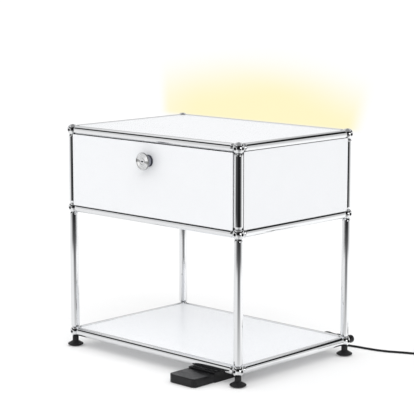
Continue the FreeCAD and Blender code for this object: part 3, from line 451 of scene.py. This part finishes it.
CIRCUIT = Finish("green_circuit_board", (0.03, 0.20, 0.09), (0.25, 0.4), 1.5, 0.004,
                 cloud=(0.025, 0.15, 0.07), cloud_size=2.0)
SWITCH_PLASTIC = Finish("grey_switch_plastic", (0.22, 0.22, 0.23), (0.4, 0.5), 0.6, 0.006,
                        cloud=(0.19, 0.19, 0.20), cloud_size=6.0)

dressed: set[str] = set()


def wear(finish: Finish, *nodes: str) -> None:
    """Gives CAD nodes a finish.

    Args:
        finish: What they wear.
        nodes: The nodes' names.
    """
    for name in nodes:
        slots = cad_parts[name].data.materials
        slots.clear()
        slots.append(finish.material())
        dressed.add(name)
        log.info("%s wears %s", name, finish.name)


def show(name: str, data: bpy.types.ID) -> bpy.types.Object:
    """Puts an object with this data into the scene.

    Args:
        name: The object's name.
        data: Its mesh, curve, lamp or camera.

    Returns:
        The new object.
    """
    made = bpy.data.objects.new(name, data)
    bpy.context.scene.collection.objects.link(made)
    return made


def mesh_of(name: str, points: Iterable[Point], faces: Iterable[Sequence[int]]) -> bpy.types.Mesh:
    """Makes a mesh.

    Args:
        name: The mesh's name.
        points: Its corners in metres.
        faces: Corner numbers, anticlockwise from outside.

    Returns:
        The new mesh.
    """
    mesh = bpy.data.meshes.new(name)
    mesh.from_pydata([tuple(p) for p in points], [], [tuple(f) for f in faces])
    mesh.update()
    return mesh


def slab(middle: Vector, sides: Sequence[Vector]) -> tuple[list[Vector], list[tuple[int, ...]]]:
    """Gives a block's corners and faces.

    Args:
        middle: The block's centre.
        sides: Its three half sides, right-handed.

    Returns:
        Eight corners, and six faces outwards.
    """
    ends = (-1, 1)
    corners = [middle + sides[0] * i + sides[1] * j + sides[2] * k for k in ends for j in ends for i in ends]
    return corners, [(0, 2, 3, 1), (4, 5, 7, 6), (0, 1, 5, 4), (2, 6, 7, 3), (0, 4, 6, 2), (1, 3, 7, 5)]


@dataclass(frozen=True)
class Ring:
    """One ring of a thread or a ribbed sleeve, in millimetres."""

    centre: Point
    axis: Point
    radius: float


class RingTree:
    """Geometry Nodes that put a ring with a round section at each point."""

    def __init__(self) -> None:
        """Builds the tree with its named inputs."""
        self.tree = bpy.data.node_groups.new("rings_on_points", "GeometryNodeTree")
        sockets = self.tree.interface
        sockets.new_socket("Points", in_out="INPUT", socket_type="NodeSocketGeometry")
        self.keys = {
            name: sockets.new_socket(name, in_out="INPUT", socket_type=kind).identifier
            for name, kind in (("Ring Segments", "NodeSocketInt"), ("Rib Ratio", "NodeSocketFloat"),
                               ("Finish", "NodeSocketMaterial"))
        }
        sockets.new_socket("Rings", in_out="OUTPUT", socket_type="NodeSocketGeometry")
        self._wire()

    def _wire(self) -> None:
        """Adds the tree's nodes and links."""
        graph = Graph(self.tree)
        given = graph.add("NodeGroupInput").outputs
        axis = graph.add("GeometryNodeInputNamedAttribute", {"data_type": "FLOAT_VECTOR"}, Name="axis")
        radius = graph.add("GeometryNodeInputNamedAttribute", {"data_type": "FLOAT"}, Name="ring_radius")
        turn = graph.add("FunctionNodeAlignRotationToVector", {"axis": "Z"}, Vector=axis.outputs["Attribute"])
        line = graph.add("GeometryNodeCurvePrimitiveCircle", Resolution=given["Ring Segments"], Radius=1.0)
        section = graph.add("GeometryNodeCurvePrimitiveCircle", Resolution=SECTION_STEPS,
                            Radius=given["Rib Ratio"])
        ring = graph.add("GeometryNodeCurveToMesh", Curve=line.outputs[0], Profile_Curve=section.outputs[0])
        rings = graph.add("GeometryNodeInstanceOnPoints", Points=given["Points"], Instance=ring.outputs[0],
                          Rotation=turn.outputs[0], Scale=radius.outputs["Attribute"])
        real = graph.add("GeometryNodeRealizeInstances", Geometry=rings.outputs[0])
        soft = graph.add("GeometryNodeSetShadeSmooth", Geometry=real.outputs[0])
        worn = graph.add("GeometryNodeSetMaterial", Geometry=soft.outputs[0], Material=given["Finish"])
        graph.add("NodeGroupOutput", Rings=worn.outputs[0])

    def make(self, name: str, rings: Sequence[Ring], finish: Finish,
             ratio: float = RIB_RATIO) -> bpy.types.Object:
        """Makes one plain mesh of rings.

        Args:
            name: The piece's name.
            rings: Where the rings are.
            finish: What they wear.
            ratio: The section's radius over the ring's.

        Returns:
            The new piece.
        """
        points = mesh_of(name + "_points", [Vector(r.centre) * MM for r in rings], [])
        points.attributes.new("axis", "FLOAT_VECTOR", "POINT").data.foreach_set(
            "vector", [c for r in rings for c in r.axis])
        points.attributes.new("ring_radius", "FLOAT", "POINT").data.foreach_set(
            "value", [r.radius * MM for r in rings])
        source = show(name + "_source", points)
        modifier = source.modifiers.new("rings", "NODES")
        modifier.node_group = self.tree
        modifier[self.keys["Ring Segments"]] = RING_STEPS
        modifier[self.keys["Rib Ratio"]] = ratio
        modifier[self.keys["Finish"]] = finish.material()
        depsgraph = bpy.context.evaluated_depsgraph_get()
        mesh = bpy.data.meshes.new_from_object(source.evaluated_get(depsgraph), depsgraph=depsgraph)
        mesh.name = name
        bpy.data.objects.remove(source)
        log.info("%s has %d rings", name, len(rings))
        return show(name, mesh)


def taper(start: Point, end: Point, radii: Pair) -> list[Ring]:
    """Spaces ribs along a tapered sleeve.

    Args:
        start: The sleeve's thick end.
        end: Its thin end.
        radii: Its radius at the two ends.

    Returns:
        The ribs, facing along the sleeve.
    """
    way = Vector(end) - Vector(start)
    lead, spare = 0.7, 0.4
    made = []
    for i in range(RIB_COUNT):
        along = (i + lead) / (RIB_COUNT + spare)
        made.append(Ring(tuple(Vector(start) + way * along), tuple(way.normalized()),
                         radii[0] + (radii[1] - radii[0]) * along))
    return made


@dataclass
class TubeFrame:
    """Chromed tubes and balls, their sleeves and screws, and the threads in the open ball holes."""

    flat: float = 11.5
    thread_radius: float = 2.95
    thread_pitch: float = 0.62
    thread_turns: int = 7

    def dress(self) -> None:
        """Gives the CAD nodes their finishes."""
        sides = ("front", "left", "right")
        wear(CHROME, "upper_posts", "lower_posts", "lamp_tube", "middle_rear_tube", "bottom_rear_tube",
             *(f"{level}_{side}_tube" for level in ("top", "middle", "bottom") for side in sides))
        wear(BALL_CHROME, "ball_connectors")
        wear(ZINC, "tube_sleeves", "connector_screws")

    def open_holes(self) -> list[tuple[Vector, Vector]]:
        """Lists the mouths of the balls' open holes.

        Returns:
            Each mouth's centre and its outward direction.
        """
        mouths = []
        for x_side in (-1, 1):
            for y_side in (-1, 1):
                for height in BALL_LEVELS:
                    ball = Vector((x_side * BALL_CORNER[0], y_side * BALL_CORNER[1], height))
                    ways = [Vector((x_side, 0, 0)), Vector((0, y_side, 0))]
                    if height == BALL_LEVELS[-1]:
                        ways.append(Vector((0, 0, 1)))
                    # The feed plug fills the rear hole of the rear right bottom ball
                    if height == BALL_LEVELS[0] and x_side == y_side == 1:
                        ways.pop()
                    mouths += [(ball + way * self.flat, way) for way in ways]
        return mouths

    def thread(self, tree: RingTree) -> None:
        """Cuts the look of a thread into every open hole, near black as painted shade of the hole.

        Args:
            tree: The ring maker.
        """
        rings = [Ring(tuple(mouth - way * self.thread_pitch * (turn + 1.0)), tuple(way), self.thread_radius)
                 for mouth, way in self.open_holes() for turn in range(self.thread_turns)]
        threads = tree.make("ball_threads", rings, SHADED_THREAD, THREAD_RATIO)
        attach(threads, "frame")


@dataclass
class Panels:
    """Folded and powder-coated sheet steel."""

    sides: tuple[str, ...] = ("top", "left", "right", "rear", "middle", "bottom")

    def dress(self) -> None:
        """Gives the CAD nodes their finishes."""
        wear(POWDER_COAT, *(f"{side}_panel" for side in self.sides))


@dataclass
class Door:
    """The drop-down door with its lock, knob and hinge clips."""

    keyway: Point = (0.0, -202.84, 446.5)
    keyway_half: tuple[float, float, float] = (4.3, 0.14, 1.7)
    keyway_steps: int = 20

    def dress(self) -> None:
        """Gives the CAD nodes their finishes."""
        wear(POWDER_COAT, "door_panel")
        wear(TURNED_PAINTED_CHROME, "door_knob", "lock_plug")
        wear(DARK_CHROME, "knob_collar")
        wear(ZINC, "hinge_clips", "hinge_stop_pins", "strike_plate", "lock_bolt", "knob_spindle")
        wear(CAST_METAL, "lock_case")

    def shade_keyway(self) -> None:
        """Puts a dark almond-shaped sheet just inside the key slot, as painted shade of the slot."""
        across, deep, up = self.keyway_half
        count = self.keyway_steps
        points = []
        for side in (-1, 1):
            for i in range(count):
                angle = math.tau * i / count
                lift = math.sin(angle) * abs(math.sin(angle))
                out = Vector((across * math.cos(angle), deep * side, up * lift))
                points.append((Vector(self.keyway) + out) * MM)
        faces: list[Sequence[int]] = [range(count), range(2 * count - 1, count - 1, -1)]
        faces += [(i, i + count, (i + 1) % count + count, (i + 1) % count) for i in range(count)]
        mesh = mesh_of("keyway_shade", points, faces)
        mesh.materials.append(SHADED_THREAD.material())
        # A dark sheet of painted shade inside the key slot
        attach(show("keyway_shade", mesh), "key_plug")
        log.info("keyway_shade is %.1f mm wide", 2 * across)


@dataclass
class Feet:
    """Four levelling glides on threaded studs."""

    corners: tuple[str, ...] = ("front_left", "front_right", "rear_left", "rear_right")

    def dress(self) -> None:
        """Gives the CAD nodes their finishes."""
        wear(FOOT_PLASTIC, *(f"{corner}_foot" for corner in self.corners))
        wear(ZINC, *(f"{corner}_stud" for corner in self.corners))


@dataclass
class Lamp:
    """The light in the rear top tube and its feed."""

    arm_start: Point = (240.0, 193.25, 36.5)
    arm_end: Point = (215.0, 193.25, 36.5)
    arm_radii: Pair = (4.65, 3.26)

    def dress(self) -> None:
        """Gives the CAD nodes their finishes."""
        wear(LAMP_BOARD, "lamp_board", "conductor_spacers")
        wear(LAMP_LIGHT, "lamp_chips")
        wear(DIFFUSER, "lamp_diffuser")
        wear(BRASS, "feed_conductors")
        wear(MOULDED_BLACK, "feed_plug")

    def rib(self) -> list[Ring]:
        """Gives the ribs of the feed plug's arm."""
        return taper(self.arm_start, self.arm_end, self.arm_radii)


@dataclass
class Dimmer:
    """The foot dimmer with its pedal and two strain reliefs."""

    relief_x: Pair = (144.0, 174.0)
    relief_y: Pair = (-96.0, -70.0)
    relief_z: float = 8.0
    relief_radii: Pair = (4.94, 3.36)

    def dress(self) -> None:
        """Gives the CAD nodes their finishes."""
        wear(MOULDED_BLACK, "dimmer_base", "dimmer_housing", "dimmer_pedal")
        wear(CORD_RUBBER, "strain_reliefs")
        wear(ZINC, "pedal_axle")
        wear(CIRCUIT, "dimmer_circuit")
        wear(SWITCH_PLASTIC, "dimmer_switch")

    def rib(self) -> list[Ring]:
        """Gives the ribs of the two strain reliefs."""
        near, far = self.relief_y
        return [ring for x in self.relief_x
                for ring in taper((x, near, self.relief_z), (x, far, self.relief_z), self.relief_radii)]


@dataclass
class Cord:
    """A round cord that lies along one smooth spline."""

    name: str
    route: list[Point]
    length: float
    diameter: float = 5.0
    round_steps: int = 4
    span_steps: int = 8
    order: int = 3

    def build(self, *nodes: str) -> bpy.types.Object:
        """Makes the cord in place of its CAD solids.

        Args:
            nodes: The CAD nodes it stands for.

        Returns:
            The cord's curve object.
        """
        curve = bpy.data.curves.new(self.name, "CURVE")
        curve.dimensions = "3D"
        curve.bevel_depth = self.diameter / 2 * MM
        curve.bevel_resolution = self.round_steps
        curve.resolution_u = self.span_steps
        curve.use_fill_caps = True
        spline = curve.splines.new("NURBS")
        spline.points.add(len(self.route) - 1)
        for point, at in zip(spline.points, self.route):
            point.co = (at[0] * MM, at[1] * MM, at[2] * MM, 1.0)
        spline.order_u = self.order
        spline.use_endpoint_u = True
        curve.materials.append(CORD_RUBBER.material())
        made = show(self.name, curve)
        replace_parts(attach(made, "frame"), *nodes)
        dressed.update(nodes)
        return made

    def declare(self, made: bpy.types.Object) -> None:
        """Says what the cord is.

        Args:
            made: The cord's object; not used.
        """
        log.info("%s is %.0f mm long", self.name, self.length)


@dataclass
class Coil:
    """The put-away turns of the mains lead: a spiral in, half a turn up, and a spiral out on top."""

    start: Pair = (395.0, 299.8)
    heading: float = math.radians(22.4)
    outer: float = 34.0
    step: float = 5.6
    layer: float = 5.6
    rest: float = 2.5
    climb: Pair = (3.0, 3.5)
    turns: float = 7.0
    points_per_turn: int = 16
    straight: float = 5.0
    approach: float = 7.5

    @property
    def way(self) -> Vector:
        """The direction in which the lead enters and leaves."""
        return Vector((math.cos(self.heading), math.sin(self.heading), 0.0))

    @property
    def centre(self) -> Vector:
        """The coil's middle on the floor."""
        side = Vector((-self.way.y, self.way.x, 0.0))
        return Vector((*self.start, 0.0)) + side * self.outer

    def radius(self, turn: float) -> float:
        """The line's radius after a number of turns."""
        middle = sum(self.climb) / 2
        return self.outer - self.step * middle + self.step * abs(turn - middle)

    def at(self, turn: float, spread: float = 1.0) -> Vector:
        """Gives the coil's line.

        Args:
            turn: How many turns from its start.
            spread: A factor on the radius.

        Returns:
            The point in millimetres.
        """
        climbed = min(max((turn - self.climb[0]) / (self.climb[1] - self.climb[0]), 0.0), 1.0)
        lift = climbed * climbed * (3 - 2 * climbed) * self.layer
        angle = self.heading + math.tau * turn - math.pi / 2
        out = Vector((math.cos(angle), math.sin(angle), 0.0)) * self.radius(turn) * spread
        return self.centre + out + Vector((0.0, 0.0, self.rest + lift))

    def route(self) -> list[Point]:
        """Gives the points from the straight run before the coil to the one after it."""
        spread = 1 / math.cos(math.pi / self.points_per_turn)
        count = round(self.turns * self.points_per_turn)
        first, last = self.at(0.0), self.at(self.turns)
        begin = first - self.way * self.straight
        turns = [self.at(self.turns * i / count, spread) for i in range(1, count)]
        return [tuple(p) for p in (begin - self.way * self.approach, begin, first, *turns, last, self.end)]

    @property
    def end(self) -> Vector:
        """Where the lead enters the plug's relief."""
        return self.at(self.turns) + self.way * self.straight


@dataclass
class Tie:
    """The strap round the coil's turns, with its tail lapped over the top."""

    near: float = 14.3
    far: float = 37.0
    height: float = 11.4
    width: float = 9.0
    thick: float = 0.8
    corner: float = 2.6
    corner_steps: int = 6
    tail: float = 13.0
    tail_inset: float = 0.4

    def outline(self, inset: float) -> list[Pair]:
        """Gives the strap's loop as rounded corners.

        Args:
            inset: How far inside the outer face.

        Returns:
            Points of distance from the coil's middle and height.
        """
        low, high = self.near + inset, self.far - inset
        bottom, top = inset, self.height - inset
        bend = self.corner - inset
        loop = []
        for r, z, start in ((high, bottom, -90), (high, top, 0), (low, top, 90), (low, bottom, 180)):
            centre_r = r + (bend if r == low else -bend)
            centre_z = z + (bend if z == bottom else -bend)
            for k in range(self.corner_steps + 1):
                angle = math.radians(start + 90 * k / self.corner_steps)
                loop.append((centre_r + bend * math.cos(angle), centre_z + bend * math.sin(angle)))
        return loop

    def build(self, coil: Coil) -> bpy.types.Object:
        """Makes the strap on the coil's side, away from the lead.

        Args:
            coil: The coil that it holds.

        Returns:
            The strap's object.
        """
        out = Vector((-coil.way.y, coil.way.x, 0.0))
        points: list[Vector] = []
        for inset in (0.0, self.thick):
            for side in (-0.5, 0.5):
                points += [coil.centre + out * r + coil.way * side * self.width + Vector((0, 0, z))
                           for r, z in self.outline(inset)]
        count = len(points) // 4
        faces = []
        for i in range(count):
            j = (i + 1) % count
            a, b, c, d = 0, count, 2 * count, 3 * count
            faces += [(a + i, a + j, b + j, b + i), (c + j, c + i, d + i, d + j),
                      (a + j, a + i, c + i, c + j), (b + i, b + j, d + j, d + i)]
        middle = coil.centre + out * (self.near + self.far) / 2 + Vector((0, 0, self.height + self.thick / 2))
        corners, quads = slab(middle, [coil.way * (self.width / 2 - self.tail_inset), out * self.tail / 2,
                                       Vector((0, 0, self.thick / 2))])
        faces += [tuple(len(points) + i for i in quad) for quad in quads]
        mesh = mesh_of("coil_tie", [point * MM for point in (*points, *corners)], faces)
        mesh.materials.append(TIE_WEBBING.material())
        made = show("coil_tie", mesh)
        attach(made, "frame")
        log.info("coil_tie is %.0f mm wide", self.width)
        return made


@dataclass
class Leads:
    """The mains lead with its coil and plug, and the lead from the dimmer to the lamp."""

    mains: tuple[Point, ...] = (
        (144, -69, 8), (144, -56.5, 8), (142.8, -43, 4.5), (139.5, -6, 2.5), (136.5, 40, 2.5), (131, 88, 2.5),
        (132, 135, 2.5), (140, 179, 2.5), (160.5, 216, 2.5), (192.5, 237.5, 2.5), (226, 245.5, 2.5),
        (263, 248.8, 2.5), (300, 256.3, 2.5), (331, 272.8, 2.5), (363, 286.8, 2.5))
    light: tuple[Point, ...] = (
        (214, 193.25, 36.5), (201.5, 193.25, 36.5), (189, 194, 38.6), (175.5, 194.5, 35), (165, 191.5, 26),
        (159.8, 181.5, 14.5), (158.5, 162, 5.5), (161, 130, 2.5), (165.5, 88, 2.5), (166.5, 40, 2.5),
        (171, -6, 2.5), (173.5, -41, 4.5), (174, -56.5, 8), (174, -69, 8))
    mains_length: float = 1677.0
    light_length: float = 322.0
    plug_relief: float = 30.0
    plug_radii: Pair = (4.9, 3.4)
    rib_inset: float = 1.0
    coil: Coil = field(default_factory=Coil)
    tie: Tie = field(default_factory=Tie)

    def dress(self) -> None:
        """Gives the CAD nodes their finishes."""
        wear(MOULDED_BLACK, "mains_plug")
        wear(BRASS, "plug_pins")

    def build(self, tree: RingTree) -> None:
        """Lays both cords and puts the tie and the plug's ribs on the mains lead.

        Args:
            tree: The ring maker.
        """
        light = Cord("lamp_cord", list(self.light), self.light_length)
        light.declare(light.build("light_lead"))
        mains = Cord("mains_cord", [*self.mains, *self.coil.route()], self.mains_length)
        laid = mains.build("mains_lead", "mains_coil")
        tie = self.tie.build(self.coil)
        thin = self.coil.end + self.coil.way * self.rib_inset
        thick = self.coil.end + self.coil.way * (self.plug_relief - self.rib_inset)
        ribs = tree.make("plug_ribs", taper(tuple(thick), tuple(thin), self.plug_radii), CORD_RUBBER)
        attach(ribs, "frame")
        mains.declare(laid)


@dataclass(frozen=True)
class HazeEdge:
    """One soft edge of the lamp's haze, across a slanted way in its plane."""

    x: float
    z: float
    start: float
    end: float

    def inside(self, graph: Graph, across: Socket, rise: Socket) -> Socket:
        """Tells how far inside the edge a place is, from 0 outside to 1 inside."""
        along = graph.total(graph.product(across, self.x), graph.product(rise, self.z))
        return graph.ease(along, self.start, self.end)


@dataclass
class Studio:
    """A pale floor, a soft white room with a dark beam, two lamps, the lamp's haze and the camera.

    The floor and the room look one way to the camera, light matt surfaces evenly, and have dark and bright
    places that only mirrors show.
    """

    eye: Point = (2.2958, -2.4211, 0.8673)
    turn: Pair = (80.779, 43.528)
    lens: float = 132.71
    clip: float = 300.0
    floor_half: float = 60.0
    floor_level: float = -0.0002
    floor_colour: float = 0.72
    floor_dark: Colour = (0.015, 0.015, 0.016)
    floor_lift: float = 0.19
    floor_sheen: float = 0.08
    dark_way: Pair = (0.8244, -0.566)
    dark_span: Pair = (-0.16, 0.85)
    dark_reach: Pair = (-0.1, 2.0)
    near_span: Pair = (0.71, 0.975)
    near_reach: Pair = (1.05, 1.4)
    front_way: Pair = (0.087, -0.996)
    front_span: Pair = (0.6, 0.98)
    front_reach: Pair = (1.5, 2.3)
    front_dark: float = 0.95
    bright_way: Pair = (0.6, 0.8)
    bright_span: Pair = (0.5, 0.85)
    bright_lift: float = 0.24
    mirrored: tuple[Pair, ...] = (
        (0.0, 0.78), (0.5, 0.78), (0.68, 1.0), (0.75, 1.0), (0.83, 0.38), (1.0, 0.3))
    side_top: Pair = (0.95, 0.7)
    side_power: float = 2.0
    beam_low: Pair = (0.34, 0.40)
    beam_high: Pair = (0.69, 0.64)
    beam_span: Pair = (-0.8, -0.45)
    beam_rear: float = 0.22
    beam_level: float = 0.01
    spark_way: Point = (0.975, -0.165, 0.15)
    spark_span: Pair = (0.968, 0.985)
    spark: float = 2.2
    backdrop: float = 1.075
    sky: Pair = (0.65, 1.26)
    sky_rise: Pair = (0.3, 0.6)
    sky_edge: Pair = (0.35, 0.9)
    sky_sides: Pair = (0.30, -0.55)
    key_way: Pair = (0.8041, -0.5945)
    key_height: float = 45.0
    key_distance: float = 3.0
    key_spread: float = 40.0
    key_strength: float = 0.6
    fill_size: Pair = (0.42, 0.28)
    fill_height: float = 0.29
    fill_power: float = 0.19
    glow_tint: Colour = (1.0, 0.93, 0.588)
    glow_base: float = 0.932
    glow_plane: float = 0.2
    glow_box: tuple[float, float, float, float] = (-0.42, 0.44, 0.44, 0.72)
    glow_level: float = 0.53
    glow_soft: HazeEdge = HazeEdge(1.0, 0.068, -0.461, -0.203)
    glow_least: float = 0.465
    glow_edges: tuple[HazeEdge, ...] = (
        HazeEdge(1.0, 0.068, -0.360, -0.316), HazeEdge(1.0, 3.223, 0.6125, 0.107),
        HazeEdge(1.0, -0.4, 0.290, 0.235), HazeEdge(-0.143, 1.0, 0.162, 0.020),
        HazeEdge(0.0, 1.0, -0.040, -0.025))
    glow_film: float = 0.02

    def build(self) -> None:
        """Sets the stage, the light and the camera."""
        bpy.context.scene.view_settings.view_transform = "Standard"
        self.floor()
        self.room()
        self.key()
        self.fill()
        self.glow()
        self.camera()

    def reach(self, graph: Graph, at: Parts) -> Socket:
        """Gives the level length of a way, kept off zero."""
        return graph.sum("MAXIMUM", graph.length(at["X"], at["Y"]), LEAST_LENGTH)

    def facing(self, graph: Graph, at: Parts, way: Pair) -> Socket:
        """Gives the cosine, seen from above, between a place or direction and a side's way."""
        along = graph.total(*(graph.product(at[axis], part) for axis, part in zip("XY", way)))
        return graph.sum("DIVIDE", along, self.reach(graph, at))

    def fade(self, graph: Graph, length: Socket) -> Socket:
        """Tells how dark the floor is to a mirror on the dark side: a lobe that widens with the way's length.

        Args:
            graph: The floor's graph.
            length: How far the mirror is.

        Returns:
            From 0 for pale to 1 for dark.
        """
        back = graph.split(graph.add("ShaderNodeNewGeometry").outputs["Incoming"])
        facing = graph.product(self.facing(graph, back, self.dark_way), -1.0)
        narrow, wide = graph.ease(facing, *self.near_span), graph.ramp(facing, *self.dark_span)
        widen = graph.ease(length, *self.near_reach)
        lobe = graph.sum("MULTIPLY_ADD", widen, graph.minus(wide, narrow), narrow)
        # Rises fast and then levels off
        far = graph.ramp(length, *self.dark_reach)
        return graph.product(lobe, far, graph.minus(2.0, far))

    def floor(self) -> None:
        """Lays the floor, white to the camera, with dark and bright sides in mirrors."""
        half, low = self.floor_half, self.floor_level
        corners = [(x * half, y * half, low) for x, y in ((-1, -1), (1, -1), (1, 1), (-1, 1))]
        mesh = mesh_of("floor", corners, [range(len(corners))])
        material, graph = new_material("pale_floor")
        ray = graph.add("ShaderNodeLightPath").outputs
        where = graph.place()
        front = graph.product(graph.ease(self.facing(graph, where, self.front_way), *self.front_span),
                              graph.ease(self.reach(graph, where), *self.front_reach), self.front_dark)
        fade = graph.sum("MAXIMUM", self.fade(graph, ray["Ray Length"]), front)
        dark = graph.product(graph.least(fade, self.floor_sheen), ray["Is Glossy Ray"])
        colour = graph.mix(dark, grey(self.floor_colour), opaque(self.floor_dark))
        matt = graph.add("ShaderNodeBsdfDiffuse", Color=colour)
        bright = graph.product(graph.ease(self.facing(graph, where, self.bright_way), *self.bright_span),
                               ray["Is Glossy Ray"], self.bright_lift)
        pale = graph.minus(1.0, dark)
        strength = graph.sum("MULTIPLY_ADD", pale, self.floor_lift, bright)
        lift = graph.add("ShaderNodeEmission", Strength=strength)
        both = graph.add("ShaderNodeAddShader")
        graph.put(both.inputs[0], matt.outputs[0])
        graph.put(both.inputs[1], lift.outputs[0])
        graph.add("ShaderNodeOutputMaterial", Surface=both.outputs[0])
        mesh.materials.append(material)
        show("floor", mesh)

    def mirror(self, graph: Graph, way: Parts) -> Socket:
        """Gives what mirrors see of the room: a ramp, a dark side, a dark beam and a small bright spot.

        Args:
            graph: The room's graph.
            way: The direction's parts.

        Returns:
            The colour's output.
        """
        ramp = graph.add("ShaderNodeValToRGB", Fac=way["Z"])
        stops = ramp.color_ramp.elements
        while len(stops) < len(self.mirrored):
            stops.new(0.5)
        for stop, (place, level) in zip(stops, self.mirrored):
            stop.position = place
            stop.color = grey(level)
        facing = self.facing(graph, way, self.dark_way)
        side = graph.product(graph.sum("POWER", graph.ramp(facing, *self.dark_span), self.side_power),
                             graph.ease(way["Z"], *self.side_top))
        ahead = graph.least(graph.ease(facing, *self.beam_span), self.beam_rear)
        edges = (self.beam_low, self.beam_high)
        beam = graph.product(ahead, *(graph.ease(way["Z"], *edge) for edge in edges))
        dark = graph.mix(graph.sum("MAXIMUM", side, beam), ramp.outputs[0], grey(self.beam_level))
        towards = graph.total(*(graph.product(way[axis], part) for axis, part in zip("XYZ", self.spark_way)))
        return graph.mix(graph.ease(towards, *self.spark_span), dark, grey(self.spark))

    def room(self) -> None:
        """Makes the room: white to the camera, even to matt surfaces, dark and bright to mirrors."""
        world = bpy.data.worlds.new("studio_room")
        world.use_nodes = True
        bpy.context.scene.world = world
        graph = Graph(world.node_tree)
        ray = graph.add("ShaderNodeLightPath").outputs
        way = graph.place("Generated")
        low, high = (grey(level) for level in self.sky)
        even = graph.mix(graph.ease(way["Z"], *self.sky_rise), low, high)
        start, end = self.sky_edge
        left = graph.sum("MULTIPLY_ADD", graph.ease(way["X"], -start, -end), self.sky_sides[0], 1.0)
        sides = graph.sum("MULTIPLY_ADD", graph.ease(way["Y"], start, end), self.sky_sides[1], left)
        shiny = ray["Is Glossy Ray"]
        power = graph.add("ShaderNodeMix", {"data_type": "FLOAT"}, Factor=shiny, A=sides, B=1.0)
        colour = graph.mix(shiny, even, self.mirror(graph, way))
        lit = graph.add("ShaderNodeBackground", Color=colour, Strength=power.outputs[0])
        seen = graph.add("ShaderNodeBackground", Color=WHITE, Strength=self.backdrop)
        pick = graph.add("ShaderNodeMixShader", Fac=ray["Is Camera Ray"])
        graph.put(pick.inputs[1], lit.outputs[0])
        graph.put(pick.inputs[2], seen.outputs[0])
        graph.add("ShaderNodeOutputWorld", Surface=pick.outputs[0])

    def key(self) -> None:
        """Sets the wide soft lamp on the camera's side."""
        lamp = bpy.data.lights.new("soft_key", "SUN")
        lamp.angle = math.radians(self.key_spread)
        lamp.energy = self.key_strength
        rise = math.radians(self.key_height)
        way = Vector((self.key_way[0] * math.cos(rise), self.key_way[1] * math.cos(rise), math.sin(rise)))
        made = show("soft_key", lamp)
        made.location = way * self.key_distance
        made.rotation_euler = way.to_track_quat("Z", "Y").to_euler()
        made.visible_glossy = False

    def fill(self) -> None:
        """Hangs a small flat lamp over the open shelf."""
        lamp = bpy.data.lights.new("shelf_fill", "AREA")
        lamp.shape = "RECTANGLE"
        lamp.size, lamp.size_y = self.fill_size
        lamp.energy = self.fill_power
        made = show("shelf_fill", lamp)
        made.location = (0.0, 0.0, self.fill_height)
        made.visible_glossy = False
        made.visible_camera = False

    def glow(self) -> None:
        """Hangs the warm haze of the lamp behind the rear top tube, seen from the front only."""
        left, right, low, high = self.glow_box
        y = self.glow_plane
        corners = [(left, y, low), (right, y, low), (right, y, high), (left, y, high)]
        mesh = mesh_of("lamp_glow", corners, [range(len(corners))])
        material, graph = new_material("warm_haze")
        ray = graph.add("ShaderNodeLightPath").outputs
        at = graph.place()
        rise = graph.minus(at["Z"], self.glow_level)
        soft = self.glow_soft.inside(graph, at["X"], rise)
        amount = graph.product(graph.least(soft, self.glow_least),
                               *(edge.inside(graph, at["X"], rise) for edge in self.glow_edges))
        warm = tuple(self.glow_base * part for part in self.glow_tint)
        tint = graph.mix(amount, grey(self.glow_base), opaque(warm))
        rear = graph.add("ShaderNodeNewGeometry").outputs["Backfacing"]
        front = graph.minus(ray["Is Camera Ray"], rear)
        near = graph.product(graph.ease(amount, 0.0, self.glow_film), graph.sum("MAXIMUM", front, 0.0))
        haze = graph.add("ShaderNodeBsdfTransparent", Color=graph.mix(near, WHITE, tint))
        graph.add("ShaderNodeOutputMaterial", Surface=haze.outputs[0])
        mesh.materials.append(material)
        show("lamp_glow", mesh)

    def camera(self) -> None:
        """Stands the camera where the photograph was taken."""
        camera = bpy.data.cameras.new("photo_camera")
        camera.lens = self.lens
        camera.clip_end = self.clip
        made = show("photo_camera", camera)
        made.location = self.eye
        made.rotation_euler = (math.radians(self.turn[0]), 0.0, math.radians(self.turn[1]))
        bpy.context.scene.camera = made


def main() -> None:
    """Builds the nightstand's sub-assemblies and the studio."""
    logging.basicConfig(level=logging.INFO, format="%(name)s: %(message)s")
    Studio().build()
    tree = RingTree()
    leads, tubes, door, lamp, dimmer = Leads(), TubeFrame(), Door(), Lamp(), Dimmer()
    for assembly in (tubes, Panels(), door, Feet(), lamp, dimmer, leads):
        assembly.dress()
    door.shade_keyway()
    leads.build(tree)
    tubes.thread(tree)
    ribs = tree.make("sleeve_ribs", [*lamp.rib(), *dimmer.rib()], CORD_RUBBER)
    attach(ribs, "frame")
    bare = sorted(set(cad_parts) - dressed)
    if bare:
        raise ValueError(f"no finish on {bare}")


if __name__ == "__main__":
    main()
